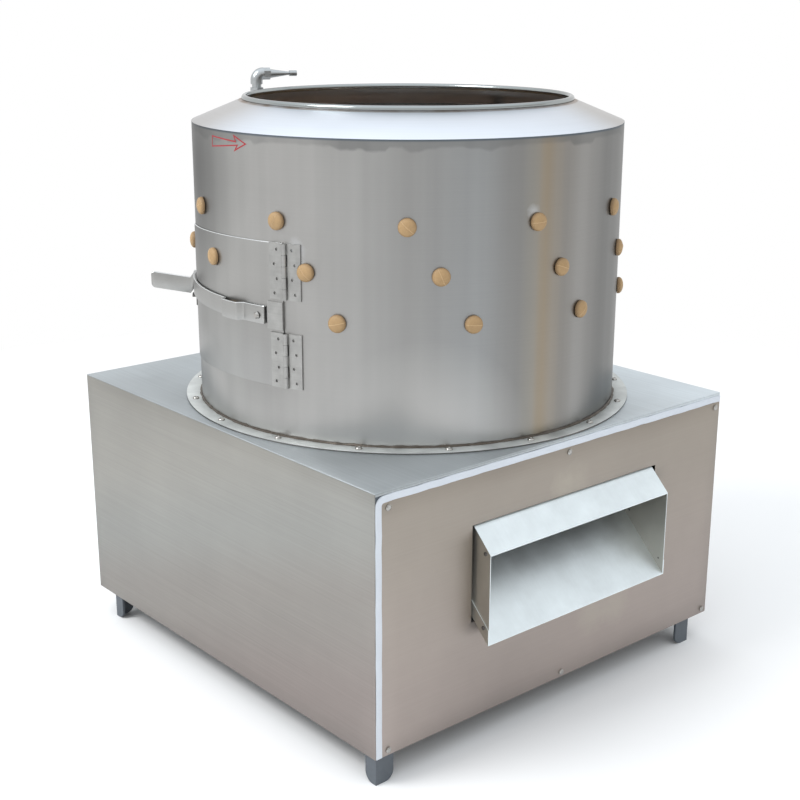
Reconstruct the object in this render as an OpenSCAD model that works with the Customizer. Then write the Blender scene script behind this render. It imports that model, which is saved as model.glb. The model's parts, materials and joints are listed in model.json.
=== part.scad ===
// Drum poultry plucker: a sheet cabinet with a belt drive, a rolled drum lined with rubber fingers,
// a turning finger plate, a hinged discharge door and a feather chute.
// Millimetres, +Z up. The origin is on the floor under the centre of the cabinet,
// the chute faces -Y and the discharge door faces -X.

/* [Cabinet] */
// Width of the cabinet
case_w = 710; // [706:1:900]
// Depth of the cabinet
case_d = 742; // [738:1:900]
// Height of the cabinet sheets, deck included
case_h = 378; // [370:1:480]
// Height of the legs that shows below the sheets
leg_show = 42; // [20:1:120]
// Thickness of the cabinet sheets
sheet_t = 1.5; // [1:0.1:2]
// Height of the deck's folded front lip
deck_lip = 5; // [3:0.5:8]
// Width of the seal round the front panel
seal_w = 10; // [6:0.5:12]
// Thickness of the seal
seal_t = 2.5; // [2:0.1:4]
// Inner radius of the seal's corner
seal_r = 4; // [2:0.5:8]
// Distance of the panel screws from the panel's ends
screw_inset = 11; // [8:1:30]
// Distance of the panel screws from the panel's top and bottom edges
screw_edge = 8; // [6:0.5:14]
// Panel screw thread diameter
screw_d = 5; // [4:0.5:6]
// Panel screw head diameter
screw_head_d = 9; // [8:0.5:11]
// Panel screw head height
screw_head_h = 2.5; // [1.5:0.1:4]

/* [Frame] */
// Width of the leg angle iron's flange along the front and back
leg_w = 31; // [28:1:40]
// Width of the leg angle iron's flange along the sides
leg_d = 22; // [22:1:40]
// Thickness of the leg angle iron
leg_t = 4; // [3:0.5:6]
// Corner radius at the lower ends of the legs
foot_r = 15; // [2:0.5:15]
// Width of the rails
rail_w = 30; // [20:1:31]
// Thickness of the rails
rail_t = 3; // [2:0.5:4]
// Height of the bottom rails above the sheets' lower edge
rail_rise = 2; // [0:0.5:20]
// Distance of the right legs from the cabinet's right face
right_inset = 38; // [20:1:60]
// Distance of the rear legs from the cabinet's back face
rear_inset = 44; // [20:1:60]
// Width of the drive beams
beam_w = 28; // [20:1:30]
// Height of the drive beams
beam_h = 40; // [30:1:50]
// Wall of the drive beams
beam_wall = 3; // [2:0.5:4]
// Underside of the drive beams above the floor
beam_z = 150; // [146:1:165]

/* [Drum] */
// Outer diameter of the drum
drum_d = 650; // [600:1:652]
// Wall of the drum
drum_wall = 1.5; // [1:0.1:2]
// Height of the drum's straight wall
drum_h = 421; // [400:1:520]
// Drum axis to the right of the cabinet's centre
drum_x = 4; // [0:0.5:6]
// Drum axis behind the cabinet's front face
drum_front = 351; // [349:0.5:371]
// Width of the base flange
flange_w = 24; // [18:0.5:25]
// Thickness of the base flange
flange_t = 3; // [2:0.5:6]
// Number of screws in the base flange
flange_count = 17; // [8:1:24]
// Angle of the first flange screw
flange_a = 133; // [120:1:140]
// Thread diameter of the flange screws
flange_screw_d = 6; // [5:0.5:8]
// Outer diameter of the rim ring
rim_d = 500; // [420:1:540]
// Wire diameter of the rim ring
rim_wire = 9; // [6:0.5:14]
// Height of the rim ring's centre above the drum wall
rim_rise = 32.5; // [20:0.5:60]
// Thickness of the cone sheet
cone_t = 1.5; // [1:0.1:2]

/* [Fingers] */
// Diameter of the finger heads
head_d = 26; // [24:0.5:30]
// Straight edge of the finger heads
head_edge = 3.5; // [3:0.5:7]
// Rise of the domed head faces
head_dome = 5.5; // [1:0.5:6]
// Diameter of the finger holes
finger_hole_d = 20; // [16:0.5:21]
// Diameter of a finger at its root
finger_root_d = 23; // [22:0.5:23.5]
// Diameter of a finger at its tip
finger_tip_d = 16; // [12:0.5:18]
// Free length of a finger
finger_len = 93; // [70:1:100]
// Number of finger columns round the drum
finger_columns = 11; // [9:1:11]
// Angle of the first column
finger_first_a = 228.9; // [226:0.1:231]
// Turn from one row to the next
finger_step_a = 8; // [6:0.5:9]
// Height of the top finger row above the deck
finger_top_z = 307.5; // [300:0.5:320]
// Distance between finger rows
finger_row = 66.5; // [64:0.5:70]
// Angle of the finger beside the door's free edge
edge_finger_a = 145.5; // [142:0.5:147]

/* [Door] */
// Angle of the door's free edge
door_free_a = 150.5; // [149:0.5:154]
// Angle of the hinge pins
hinge_a = 198.4; // [196:0.1:199]
// Height of the door's lower edge above the deck
door_lift = 75; // [60:1:80]
// Height of the door
door_h = 203; // [198:1:215]
// Thickness of the door sheet
door_t = 1.5; // [1:0.1:2]
// Lap of the door over the edges of its window
door_lap = 10; // [6:0.5:14]
// Distance from the hinge pins to the window's edge
hinge_land = 16; // [12:0.5:20]
// Height of a hinge
hinge_h = 78; // [60:1:80]
// Width of a hinge leaf
leaf_w = 25; // [20:0.5:28]
// Thickness of a hinge leaf
leaf_t = 2; // [1.5:0.1:2.5]
// Diameter of the hinge knuckles
knuckle_d = 7; // [6:0.5:9]
// Diameter of the hinge pins
hinge_pin_d = 4; // [3:0.5:4.5]
// Number of knuckles on a hinge
knuckle_count = 5; // [3:2:7]
// Diameter of the holes in the hinge leaves
leaf_hole_d = 4.4; // [3:0.1:5]

/* [Latch] */
// Height of the strap's pivot above the door's lower edge
latch_rise = 98.5; // [96:0.5:101]
// Width of the strap
strap_w = 28; // [20:0.5:30]
// Thickness of the strap
strap_t = 3; // [2:0.5:4]
// Stand-off of the strap from the door
strap_gap = 2.7; // [2.5:0.1:4]
// Angle of the pivot rivet
rivet_a = 190.1; // [188:0.1:191]
// Strap left beyond the rivet
strap_end = 12.5; // [8:0.5:14]
// Angle where the strap bends out into its handle
handle_a = 140; // [136:0.5:141]
// Reach of the handle from the drum axis
handle_reach = 400; // [370:1:420]
// Corner radius of the handle's end
handle_r = 7; // [3:0.5:10]
// Upward tilt of the handle
handle_tilt = 7; // [0:0.5:8]
// Slope of the strap down towards the handle
strap_droop = 0.7; // [0:0.1:1.5]
// Width of the strap's hump over the finger head
hump_w = 46; // [42:1:56]
// Room between the hump and the finger head
hump_gap = 1.5; // [1:0.1:4]
// Diameter of the pivot rivet
rivet_d = 6; // [5:0.5:8]
// Diameter of the pivot rivet's head
rivet_head_d = 10; // [9:0.5:14]
// Angle of the keeper
keeper_a = 145; // [144:0.5:147]
// Width of the keeper
keeper_w = 20; // [12:0.5:22]
// Reach of the keeper's shelf from the drum
keeper_reach = 9; // [8:0.5:14]

/* [Chute] */
// Outer width of the chute
chute_w = 375; // [300:1:380]
// Chute centre to the right of the cabinet's centre
chute_x = 10; // [0:0.5:12]
// Height of the chute floor at the panel
chute_z = 195.5; // [190:0.5:210]
// Slope of the chute
chute_slope = 45; // [42:0.5:48]
// Reach of the chute in front of the panel
chute_out = 30; // [20:0.5:40]
// Upright height of the chute's mouth
chute_mouth = 132; // [100:1:140]
// Thickness of the chute sheets
chute_t = 1.2; // [0.8:0.1:1.5]
// Upright height of the floor's turned-up edges
chute_edge = 21; // [15:0.5:24]
// Gap round the chute in its panel slot
slot_gap = 4; // [3:0.5:6]
// Diameter of the chute rivets
chute_rivet_d = 3.2; // [3:0.1:4]
// Head diameter of the chute rivets
chute_rivet_head = 6; // [5:0.5:8]
// Depth of the feather pan under the deck
pan_depth = 40; // [38:0.5:44]
// Room between the drum's wall and the pan's wall
pan_step = 9; // [9:0.5:12]

/* [Rotor] */
// Gap between the turning plate and the drum wall
plate_gap = 20.5; // [18:0.5:26]
// Thickness of the turning plate
plate_t = 6; // [4:0.5:8]
// Underside of the turning plate above the deck
plate_lift = 14; // [12:0.5:20]
// Diameter of the main shaft
shaft_d = 35; // [30:1:40]
// Lower end of the main shaft above the floor
shaft_z = 84; // [80:1:88]
// Diameter of the shaft's threaded end
stud_d = 24; // [20:1:26]
// Length of the shaft's threaded end above the plate
stud_len = 22; // [20:1:30]
// Height of the shaft nut
nut_h = 19; // [14:1:20]
// Diameter of the hub's flange
hub_flange_d = 140; // [120:2:150]
// Thickness of the hub's flange
hub_flange_t = 12; // [8:1:16]
// Diameter of the hub
hub_d = 64; // [56:1:70]
// Length of the hub under the plate
hub_len = 42; // [38:1:44]
// Radii of the plate's finger rings
ring_radii = [110, 190, 268];
// Number of fingers in each ring
ring_counts = [6, 10, 14];
// Thickness of the feather paddles
paddle_t = 6; // [4:0.5:8]
// Running gap between the paddles and the pan
paddle_gap = 6; // [4:0.5:10]
// Distance of the paddle ends inside the plate's edge
paddle_inset = 7; // [4:1:20]

/* [Drive] */
// Outer diameter of the bearings
bearing_d = 72; // [66:1:74]
// Height of a bearing
bearing_h = 17; // [14:1:20]
// Outer diameter of the bearing housing
housing_d = 84; // [82:1:90]
// Height of the bearing housing
housing_h = 200; // [170:1:205]
// Thickness of the housing's flange
housing_flange_t = 12; // [8:1:16]
// Distance of the bearing beams from the shaft axis
beam_offset = 62; // [60:1:66]
// Distance of the housing bolts from the shaft axis, along the beams
bolt_offset = 50; // [48:1:56]
// Thread diameter of the drive bolts
bolt_d = 10; // [8:1:12]
// Diameter of the driven pulley
pulley_d = 300; // [240:1:310]
// Diameter of the motor pulley
motor_pulley_d = 76; // [70:1:100]
// Width of the pulley rims
pulley_w = 26; // [24:0.5:30]
// Height of the belt's middle above the floor
belt_z = 107; // [103:1:112]
// Motor axis to the right of the drum axis
motor_dx = 175; // [165:1:178]
// Gap between the motor flange and the rear beam
motor_room = 3; // [2:0.5:12]
// Diameter of the motor body
motor_d = 156; // [130:1:160]
// Diameter of the motor flange
motor_flange_d = 184; // [170:1:184]
// Height of the motor with its fan cover
motor_h = 216; // [180:1:220]
// Thread diameter of the motor bolts
motor_bolt_d = 8; // [6:1:8]
// Diameter of the motor shaft
motor_shaft_d = 24; // [19:1:28]
// Thickness of the motor plate
motor_plate_t = 8; // [6:1:10]

/* [Water] */
// Distance of the inlet from the drum axis
inlet_r = 288; // [280:1:300]
// Angle of the inlet
inlet_a = 107; // [95:0.5:115]
// Diameter of the inlet pipe
inlet_d = 15; // [13:0.5:18]
// Diameter of the elbow's body
elbow_d = 19.5; // [18.5:0.5:22]
// Height of the elbow's arm above the drum wall
elbow_rise = 57; // [54:0.5:64]
// Direction of the hose tail
tail_a = -22.7; // [-40:0.1:0]
// Length of the hose tail
tail_len = 55; // [45:1:80]
// Diameter of the hose tail's tip
tail_tip_d = 9; // [8:0.5:12]
// Length of the hose tail's tip
tail_tip_len = 12; // [10:0.5:16]
// Tube diameter of the spray ring
spray_d = 14; // [10:0.5:16]

/* [Switch] */
// Width of the switch box
box_w = 80; // [70:1:100]
// Height of the switch box
box_h = 110; // [100:1:120]
// Depth of the switch box
box_d = 34; // [28:1:36]
// Wall of the switch box
box_wall = 2.5; // [2:0.1:4]
// Centre of the switch box to the right of the cabinet's centre
box_x = 190; // [100:1:250]
// Lower edge of the switch box above the floor
box_z = 275; // [200:1:290]
// Diameter of the buttons
button_d = 22; // [18:0.5:24]
// Height of a button above the box
button_h = 5; // [4:0.5:8]
// Distance between the buttons
button_pitch = 42; // [32:1:46]
// Outer diameter of the cable gland
gland_d = 20; // [16:0.5:24]
// Bore of the cable gland
gland_bore_d = 10; // [6:0.5:12]
// Length of the cable gland below the box
gland_len = 22; // [16:1:30]

/* [Clearances] */
// Radial clearance of running shafts and pins
run_fit = 0.05; // [0.02:0.01:0.1]
// Clearance of pieces that pass each other
pass_gap = 0.4; // [0.3:0.1:0.6]
// Clearance of pieces that are fastened on curved faces
seat_gap = 0.05; // [0.02:0.01:0.1]
// Clearance of the door over the drum
door_gap = 0.3; // [0.3:0.1:0.6]
// Clearance of the belt in its grooves
belt_gap = 0.45; // [0.4:0.05:0.6]

/* [Hidden] */
$fn = 96;
x_in = case_w / 2 - sheet_t;
y_in = case_d / 2 - sheet_t;
rail_x = x_in - rail_t;
rail_y = y_in - rail_t;
side_y = y_in - rail_w;
front_y = -case_d / 2;
deck_z = leg_show + case_h;
deck_under = deck_z - sheet_t;
rail_under = deck_under - rail_t;
right_leg_x = case_w / 2 - right_inset;
rear_leg_y = case_d / 2 - rear_inset;
panel_top = deck_z - deck_lip - seal_w;
bottom_rail_z = leg_show + rail_rise;
beam_top = beam_z + beam_h;
left_beam_x = -(rail_x - leg_t) + beam_w;
right_beam_x = right_leg_x - leg_t - beam_w;
rear_beam_y = rear_leg_y - leg_t - beam_w;

drum_y = front_y + drum_front;
drum_r = drum_d / 2;
drum_ri = drum_r - drum_wall;
drum_top = deck_z + drum_h;
flange_r = drum_r + flange_w;
flange_screw_r = drum_r + flange_w / 2;
rim_r = (rim_d - rim_wire) / 2;
rim_z = drum_top + rim_rise;
cone_a = atan2(rim_rise, drum_r - rim_r);
cone_end_r = rim_r + (rim_wire / 2 + seat_gap) * cos(cone_a);
cone_end_z = rim_z - (rim_wire / 2 + seat_gap) * sin(cone_a);

head_h = head_edge + head_dome;
neck_d = finger_hole_d - 2 * pass_gap;
rows = 3;
latch_row = 2;
edge_row = 1;
keeper_zone = 14;

door_z = deck_z + door_lift;
door_top = door_z + door_h;
door_r0 = drum_r + door_gap;
door_r1 = door_r0 + door_t;
pin_r = drum_r + knuckle_d / 2 + pass_gap;
knuckle_clear_a = arc_a(knuckle_d / 2 + 2 * pass_gap, drum_r);
door_hinge_a = hinge_a - knuckle_clear_a;
window_a0 = door_free_a + arc_a(door_lap, drum_r);
window_a1 = hinge_a - arc_a(hinge_land, drum_r);
leaf_r = door_r1 + seat_gap;
hinge_zs = [door_z, door_top - hinge_h];

latch_z = door_z + latch_rise;
strap_r0 = door_r1 + strap_gap;
strap_r1 = strap_r0 + strap_t;
strap_end_a = rivet_a + arc_a(strap_end, strap_r0);
strap_wall_a = arc_a(strap_t, strap_r0);
strap_bend = 0.3;
strap_bend_a = arc_a(strap_bend, strap_r0);
hump_a = norm_a(finger_a(latch_row, -2));
hump_half_a = arc_a(hump_w / 2, strap_r0);
hump_r = door_r1 + seat_gap + head_h + hump_gap;
strap_mid_r = strap_r0 + strap_t / 2;
hump_mid_r = hump_r + strap_t / 2;
rivet_head_h = 3;
rivet_collar_d = 14;
plate_end_gap = 4;
keeper_half_a = arc_a(keeper_w / 2, drum_r);
handle_mid_r = (strap_r1 + handle_reach) / 2;
keeper_t = 3;
keeper_back = 16;
keeper_far = strap_r1 * sin(rivet_a - keeper_a + keeper_half_a);
keeper_top = latch_z - keeper_far * sin(strap_droop) - strap_w / 2 * cos(strap_droop) - pass_gap;

slope_k = tan(chute_slope);
chute_rise_t = chute_t / cos(chute_slope);
chute_front_y = front_y - chute_out;
chute_x0 = chute_x - chute_w / 2;
chute_x1 = chute_x + chute_w / 2;
pan_z = deck_z - pan_depth;
pan_under = pan_z - sheet_t;
pan_rail_gap = 2;
pan_room_x = x_in - rail_w - abs(drum_x) - pan_rail_gap - sheet_t;
pan_room_y = side_y - abs(drum_y) - pan_rail_gap - sheet_t;
pan_r = min(drum_r - pan_step, pan_room_x, pan_room_y);
pan_shaft_gap = 6.5;
pan_hole_r = shaft_d / 2 + pan_shaft_gap;
pan_collar_h = 8;
chute_top_y = front_y + (pan_under - chute_z) / slope_k;
hood_end_y = front_y + (pan_under - chute_z - chute_mouth) / slope_k;
chute_edge_stop = 30;
chute_edge_y = chute_top_y - chute_edge_stop;
rivet_near = 9.5;
rivet_far = 71;
rivet_near_y = chute_front_y + rivet_near;
rivet_far_y = chute_front_y + rivet_far;
rivet_up = 13;
rivet_down = 10;
rivet_spots = [
    [rivet_near_y, floor_z(rivet_near_y) + rivet_up],
    [rivet_far_y, floor_z(rivet_far_y) + rivet_up],
    [rivet_near_y, hood_z(rivet_near_y) - rivet_down]
];

plate_r = drum_ri - plate_gap;
plate_z = deck_z + plate_lift;
plate_top = plate_z + plate_t;
paddle_hub_gap = 5;
paddle_r0 = hub_flange_d / 2 + paddle_hub_gap;
paddle_wall_gap = 20;
paddle_r1 = min(plate_r - paddle_inset, pan_r - paddle_wall_gap);
housing_z = beam_z;
housing_end = housing_z + housing_h;
bearing_inset = 2;
bearing_step = 6;
bolt_edge = 15;
housing_flange_x = bolt_offset + bolt_edge;
housing_flange_y = beam_offset + beam_w / 2;
hole_reach = 20;
hex_ratio = 1.9;
hex_head = 0.7;
bolt_drop = 8;
groove_depth = 14;
groove_bottom = 6;
groove_top = 9;
belt_top_in = 0.5;
belt_depth = 11;
rim_wall = 10;
web_t = 10;
hub_wall = 15;
hub_rise = 27;
motor_x = drum_x + motor_dx;
motor_y = rear_beam_y - motor_room - motor_flange_d / 2;
motor_dy = motor_y - drum_y;
motor_flange_t = 10;
motor_top = beam_z + motor_h;
motor_cover_h = 46;
motor_bore_h = 150;
motor_bolt_r = 83;
motor_plate_edge = 6;
motor_plate_x = motor_x - motor_flange_d / 2 - motor_plate_edge;
motor_plate_room = 10;
fin_count = 12;
fin_t = 4;
fin_h = 6;

inlet_x = drum_x + inlet_r * cos(inlet_a);
inlet_y = drum_y + inlet_r * sin(inlet_a);
inlet_cone_z = cone_z(inlet_r);
elbow_z = drum_top + elbow_rise;
elbow_bend = elbow_d / 2 + 0.5;
elbow_arm = elbow_bend + 1;
elbow_leg = 6;
spray_drop = 5;
spray_z = drum_top - spray_drop;
spray_top = spray_z + spray_d / 2;
inlet_flange_d = 34;
inlet_flange_t = 3;
inlet_nut_h = 12;
inlet_nut_wall = 4;
tail_nut_d = 19;
tail_nut_h = 11;
clip_angles = [20, 140, 260];
clip_w = 16;
clip_t = 3;

box_y = case_d / 2;
box_face = box_y + box_d;
button_flange = 2;
button_mid_z = box_z + box_h / 2;
gland_nut_h = 6;
gland_thread_d = gland_d - 6;
gland_cap_d = gland_d - 2;
button_lip = 2;

// Angle of an arc of the given length
function arc_a(len, r) = len / r * 180 / PI;
// Angle brought into 0 to 360
function norm_a(a) = a - 360 * floor(a / 360);
// Angle and height of a drum finger
function finger_a(row, column) = finger_first_a + row * finger_step_a + column * 360 / finger_columns;
function finger_z(row) = deck_z + finger_top_z - row * finger_row;
// Chute floor and hood heights along the chute
function floor_z(y) = chute_z + (y - front_y) * slope_k;
function hood_z(y) = floor_z(y) + chute_mouth;
// Outer face of the cone at a radius
function cone_z(r) = drum_top + (drum_r - r) * tan(cone_a);

finger_spots = [
    for (row = [0:rows - 1], column = [0:finger_columns - 1])
        [norm_a(finger_a(row, column)), finger_z(row), row]
];
door_spots = [for (s = finger_spots) if (on_door(s)) s];
drum_spots = concat(
    [for (s = finger_spots) if (!on_door(s) && !by_keeper(s)) s],
    [[edge_finger_a, finger_z(edge_row), edge_row]]
);
// Fingers that the door carries
function on_door(s) = s[0] > door_free_a && s[0] < hinge_a && s[1] < door_top;
// Fingers that would be in the way of the keeper and the strap's end
function by_keeper(s) = s[0] > door_free_a - keeper_zone && s[0] < door_free_a && s[2] > 0;

// Box between two opposite corners
module block(a, b)
    translate([min(a[0], b[0]), min(a[1], b[1]), min(a[2], b[2])])
        cube([abs(b[0] - a[0]), abs(b[1] - a[1]), abs(b[2] - a[2])]);

// Ring between two radii
module ring(r0, r1, z0, z1)
    translate([0, 0, z0])
        difference() {
            cylinder(r = r1, h = z1 - z0);
            translate([0, 0, -1])
                cylinder(r = r0, h = z1 - z0 + 2);
        }

// Part of a ring between two angles
module arc_band(a0, a1, r0, r1, z0, z1)
    rotate([0, 0, a0])
        rotate_extrude(angle = a1 - a0)
            translate([r0, z0])
                square([r1 - r0, z1 - z0]);

// Shape with its own Z turned to point out from the drum axis
module radial(a, z)
    rotate([0, 0, a])
        translate([0, 0, z])
            rotate([0, 90, 0])
                children();

// Outline in Y and Z, drawn out along X
module along_x(x0, x1, outline)
    translate([x0, 0, 0])
        rotate([90, 0, 90])
            linear_extrude(height = x1 - x0)
                polygon(outline);

module at_drum()
    translate([drum_x, drum_y, 0])
        children();

// Screw with a pan head, its shank downwards from the head's seat
module pan_screw(d, head_d, head_h, len) {
    translate([0, 0, -len])
        cylinder(d = d, h = len + head_h / 2);
    cylinder(d = head_d, h = head_h * 0.6);
    translate([0, 0, head_h * 0.6])
        cylinder(d1 = head_d, d2 = head_d * 0.6, h = head_h * 0.4);
}

// Rubber finger with its head above a wall that starts at Z = 0 and is grip thick
module finger(grip) {
    end_z = -(grip + finger_len);
    tip_r = finger_tip_d / 2;
    tip_arc = [for (a = [0:30:90]) [tip_r * sin(a), end_z + tip_r * (1 - cos(a))]];
    dome_arc = [for (a = [90:-30:0]) [head_d / 2 * sin(a), head_edge + head_dome * cos(a)]];
    neck = [
        [finger_root_d / 2, -grip],
        [neck_d / 2, -grip],
        [neck_d / 2, 0],
        [head_d / 2, 0]
    ];
    rotate_extrude()
        polygon(concat(tip_arc, neck, dome_arc));
}

// Fingers through a curved wall
module wall_fingers(spots, r_in, r_out) {
    sag = pow(head_d / 2, 2) / (2 * r_in);
    for (s = spots)
        radial(s[0], s[1])
            translate([0, 0, r_out + seat_gap])
                finger(r_out - r_in + sag + 2 * seat_gap);
}

// Holes for the fingers of a curved wall
module wall_holes(spots, r)
    for (s = spots)
        radial(s[0], s[1])
            translate([0, 0, r - hole_reach / 2])
                cylinder(d = finger_hole_d, h = hole_reach);

// Angle-iron leg with its outer corner at x, y and its flanges running along sx and sy
module leg(x, y, sx, sy, top)
    color("slategray")
        difference() {
            union() {
                block([x, y, 0], [x + sx * leg_w, y + sy * leg_t, top]);
                block([x, y, 0], [x + sx * leg_t, y + sy * leg_d, top]);
            }
            foot_corner([x + sx * leg_w, y, 0], sx, [90, 0, 0]);
            foot_corner([x, y + sy * leg_d, 0], sy, [90, 0, 90]);
        }

// Waste outside the rounded corner of a foot
module foot_corner(at, s, turn)
    translate(at)
        rotate(turn)
            translate([-s * foot_r, foot_r, -leg_w])
                difference() {
                    block([0, 0, 0], [s * (foot_r + 1), -(foot_r + 1), 2 * leg_w]);
                    translate([0, 0, -1])
                        cylinder(r = foot_r, h = 2 * leg_w + 2);
                }

module leg_front_left() leg(-rail_x, -rail_y, 1, 1, rail_under);
module leg_front_right() leg(right_leg_x, -rail_y, -1, 1, rail_under);
module leg_rear_left() leg(-rail_x, rear_leg_y, 1, -1, rail_under);
module leg_rear_right() leg(right_leg_x, rear_leg_y, -1, -1, deck_under);

// Angle-iron rails under the deck, butted at the corners
module top_rails()
    color("slategray")
        difference() {
            for (s = [-1, 1]) {
                block([-x_in, s * y_in, deck_under - rail_w], [x_in, s * rail_y, deck_under]);
                block([-x_in, s * rail_y, rail_under], [x_in, s * side_y, deck_under]);
                block([s * x_in, -side_y, deck_under - rail_w], [s * rail_x, side_y, deck_under]);
                block([s * rail_x, -side_y, rail_under], [s * (x_in - rail_w), side_y, deck_under]);
            }
            panel_holes(-1, panel_top - screw_edge);
            panel_holes(1, panel_top - screw_edge);
        }

module bottom_rails()
    color("slategray")
        difference() {
            for (s = [-1, 1]) {
                block([-x_in, s * y_in, bottom_rail_z], [x_in, s * rail_y, bottom_rail_z + rail_w]);
                block([s * x_in, -rail_y, bottom_rail_z], [s * rail_x, rail_y, bottom_rail_z + rail_w]);
            }
            panel_holes(-1, leg_show + screw_edge);
            panel_holes(1, leg_show + screw_edge);
        }

// Rectangular tubes that carry the bearing housing and the motor plate
module drive_beams()
    color("slategray")
        difference() {
            union() {
                side_tube(left_beam_x - beam_w);
                side_tube(right_beam_x);
                for (y = [drum_y - beam_offset, drum_y + beam_offset])
                    cross_tube(y - beam_w / 2);
                cross_tube(rear_beam_y);
            }
            at_drum()
                housing_bolt_holes(beam_top - 2 * beam_wall, 3 * beam_wall);
        }

module side_tube(x)
    difference() {
        block([x, -(rail_y - leg_t), beam_z], [x + beam_w, rear_leg_y - leg_t, beam_top]);
        block(
            [x + beam_wall, -rail_y, beam_z + beam_wall],
            [x + beam_w - beam_wall, rear_leg_y, beam_top - beam_wall]
        );
    }

module cross_tube(y)
    difference() {
        block([left_beam_x, y, beam_z], [right_beam_x, y + beam_w, beam_top]);
        block(
            [left_beam_x - 1, y + beam_wall, beam_z + beam_wall],
            [right_beam_x + 1, y + beam_w - beam_wall, beam_top - beam_wall]
        );
    }

module deck_plate()
    color("lightsteelblue")
        difference() {
            union() {
                block([-case_w / 2, front_y, deck_under], [case_w / 2, -front_y, deck_z]);
                block([-x_in, front_y, deck_z - deck_lip], [case_w / 2, -y_in, deck_under]);
            }
            at_drum() {
                translate([0, 0, deck_under - 1])
                    cylinder(r = pan_r, h = sheet_t + 2);
                flange_holes(deck_under - 1, deck_z + 1);
            }
        }

module left_side_panel()
    color("tan")
        block([-case_w / 2, front_y, leg_show], [-x_in, -front_y, deck_under]);

module right_side_panel()
    color("tan")
        block([x_in, -y_in, leg_show], [case_w / 2, -front_y, deck_under]);

// Screw places along a panel at one height, on the front for s = -1 and on the back for s = 1
function screw_xs(s) = s < 0
    ? [-x_in + seal_w + screw_inset, (seal_w + sheet_t) / 2, case_w / 2 - screw_inset]
    : [-x_in + screw_inset, 0, x_in - screw_inset];

module panel_holes(s, z)
    for (x = screw_xs(s))
        translate([x, s * y_in, z])
            rotate([90, 0, 0])
                cylinder(d = screw_d + 2 * seat_gap, h = hole_reach, center = true);

module panel_screws(s)
    for (x = screw_xs(s), z = [leg_show + screw_edge, panel_top - screw_edge])
        translate([x, s * case_d / 2, z])
            rotate([s * -90, 0, 0])
                pan_screw(screw_d, screw_head_d, screw_head_h, sheet_t + rail_t);

module back_panel()
    color("tan")
        difference() {
            block([-x_in, y_in, leg_show], [x_in, case_d / 2, deck_under]);
            panel_holes(1, leg_show + screw_edge);
            panel_holes(1, panel_top - screw_edge);
        }

module back_panel_screws()
    color("silver")
        panel_screws(1);

module front_panel()
    color("tan")
        difference() {
            block([-x_in + seal_w, front_y, leg_show], [case_w / 2, -y_in, panel_top]);
            block(
                [chute_x0 - chute_t - slot_gap, front_y - 1, floor_z(front_y) - chute_rise_t - slot_gap],
                [chute_x1 + chute_t + slot_gap, -y_in + 1, hood_z(-y_in) + slot_gap]
            );
            seal_form();
            panel_holes(-1, leg_show + screw_edge);
            panel_holes(-1, panel_top - screw_edge);
        }

// Strip along the top and left edges of the panel, with a round corner
module seal_form() {
    corner_x = -x_in + seal_w + seal_r;
    corner_z = panel_top - seal_r;
    block([-x_in, -y_in - seal_t, leg_show], [-x_in + seal_w, -y_in, corner_z]);
    block([corner_x, -y_in - seal_t, panel_top], [case_w / 2, -y_in, panel_top + seal_w]);
    translate([corner_x, -y_in, corner_z])
        rotate([90, 0, 0])
            arc_band(90, 180, seal_r, seal_r + seal_w, 0, seal_t);
}

module panel_seal()
    color("white")
        seal_form();

module front_panel_screws()
    color("silver")
        panel_screws(-1);

// Round pan hung under the deck, open to the chute at the front
module feather_pan()
    color("gainsboro")
        difference() {
            at_drum() {
                ring(pan_hole_r, pan_r + sheet_t, pan_under, pan_z);
                ring(pan_hole_r, pan_hole_r + sheet_t, pan_under, pan_z + pan_collar_h);
            }
            block(
                [chute_x0 + chute_t, hood_end_y, pan_under - 1],
                [chute_x1 - chute_t, chute_top_y, pan_z + 1]
            );
        }

// Rolled band that stands on the pan's floor and reaches the deck
module pan_wall()
    color("gainsboro")
        at_drum()
            ring(pan_r, pan_r + sheet_t, pan_z, deck_under);

// Sloping floor with turned-up edges outside the hood's sides
module chute_floor()
    color("gainsboro")
        difference() {
            union() {
                along_x(chute_x0, chute_x1, [
                    [chute_front_y, floor_z(chute_front_y)],
                    [chute_top_y, floor_z(chute_top_y)],
                    [chute_top_y, floor_z(chute_top_y) - chute_rise_t],
                    [chute_front_y, floor_z(chute_front_y) - chute_rise_t]
                ]);
                for (x = [chute_x0 - chute_t, chute_x1])
                    along_x(x, x + chute_t, [
                        [chute_front_y, floor_z(chute_front_y) - chute_rise_t],
                        [chute_front_y, floor_z(chute_front_y) + chute_edge],
                        [chute_edge_y, floor_z(chute_edge_y) + chute_edge],
                        [chute_edge_y, floor_z(chute_edge_y) - chute_rise_t]
                    ]);
            }
            chute_rivet_holes();
        }

// Sloping top and two sides, which run back inside the cabinet to the pan, and a flat edge round the pan
module chute_hood()
    color("gainsboro")
        difference() {
            union() {
                for (x = [chute_x0, chute_x1 - chute_t])
                    along_x(x, x + chute_t, [
                        [chute_front_y, floor_z(chute_front_y)],
                        [chute_front_y, hood_z(chute_front_y)],
                        [hood_end_y, pan_under],
                        [chute_top_y, pan_under]
                    ]);
                along_x(chute_x0, chute_x1, [
                    [chute_front_y, hood_z(chute_front_y)],
                    [hood_end_y, pan_under],
                    [hood_end_y + chute_rise_t, pan_under],
                    [chute_front_y, hood_z(chute_front_y) - chute_rise_t]
                ]);
                difference() {
                    block([chute_x0, hood_end_y, pan_under - chute_t], [chute_x1, chute_top_y, pan_under]);
                    at_drum()
                        translate([0, 0, pan_under - chute_t - 1])
                            cylinder(r = pan_r, h = chute_t + 2);
                }
            }
            chute_rivet_holes();
        }

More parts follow.
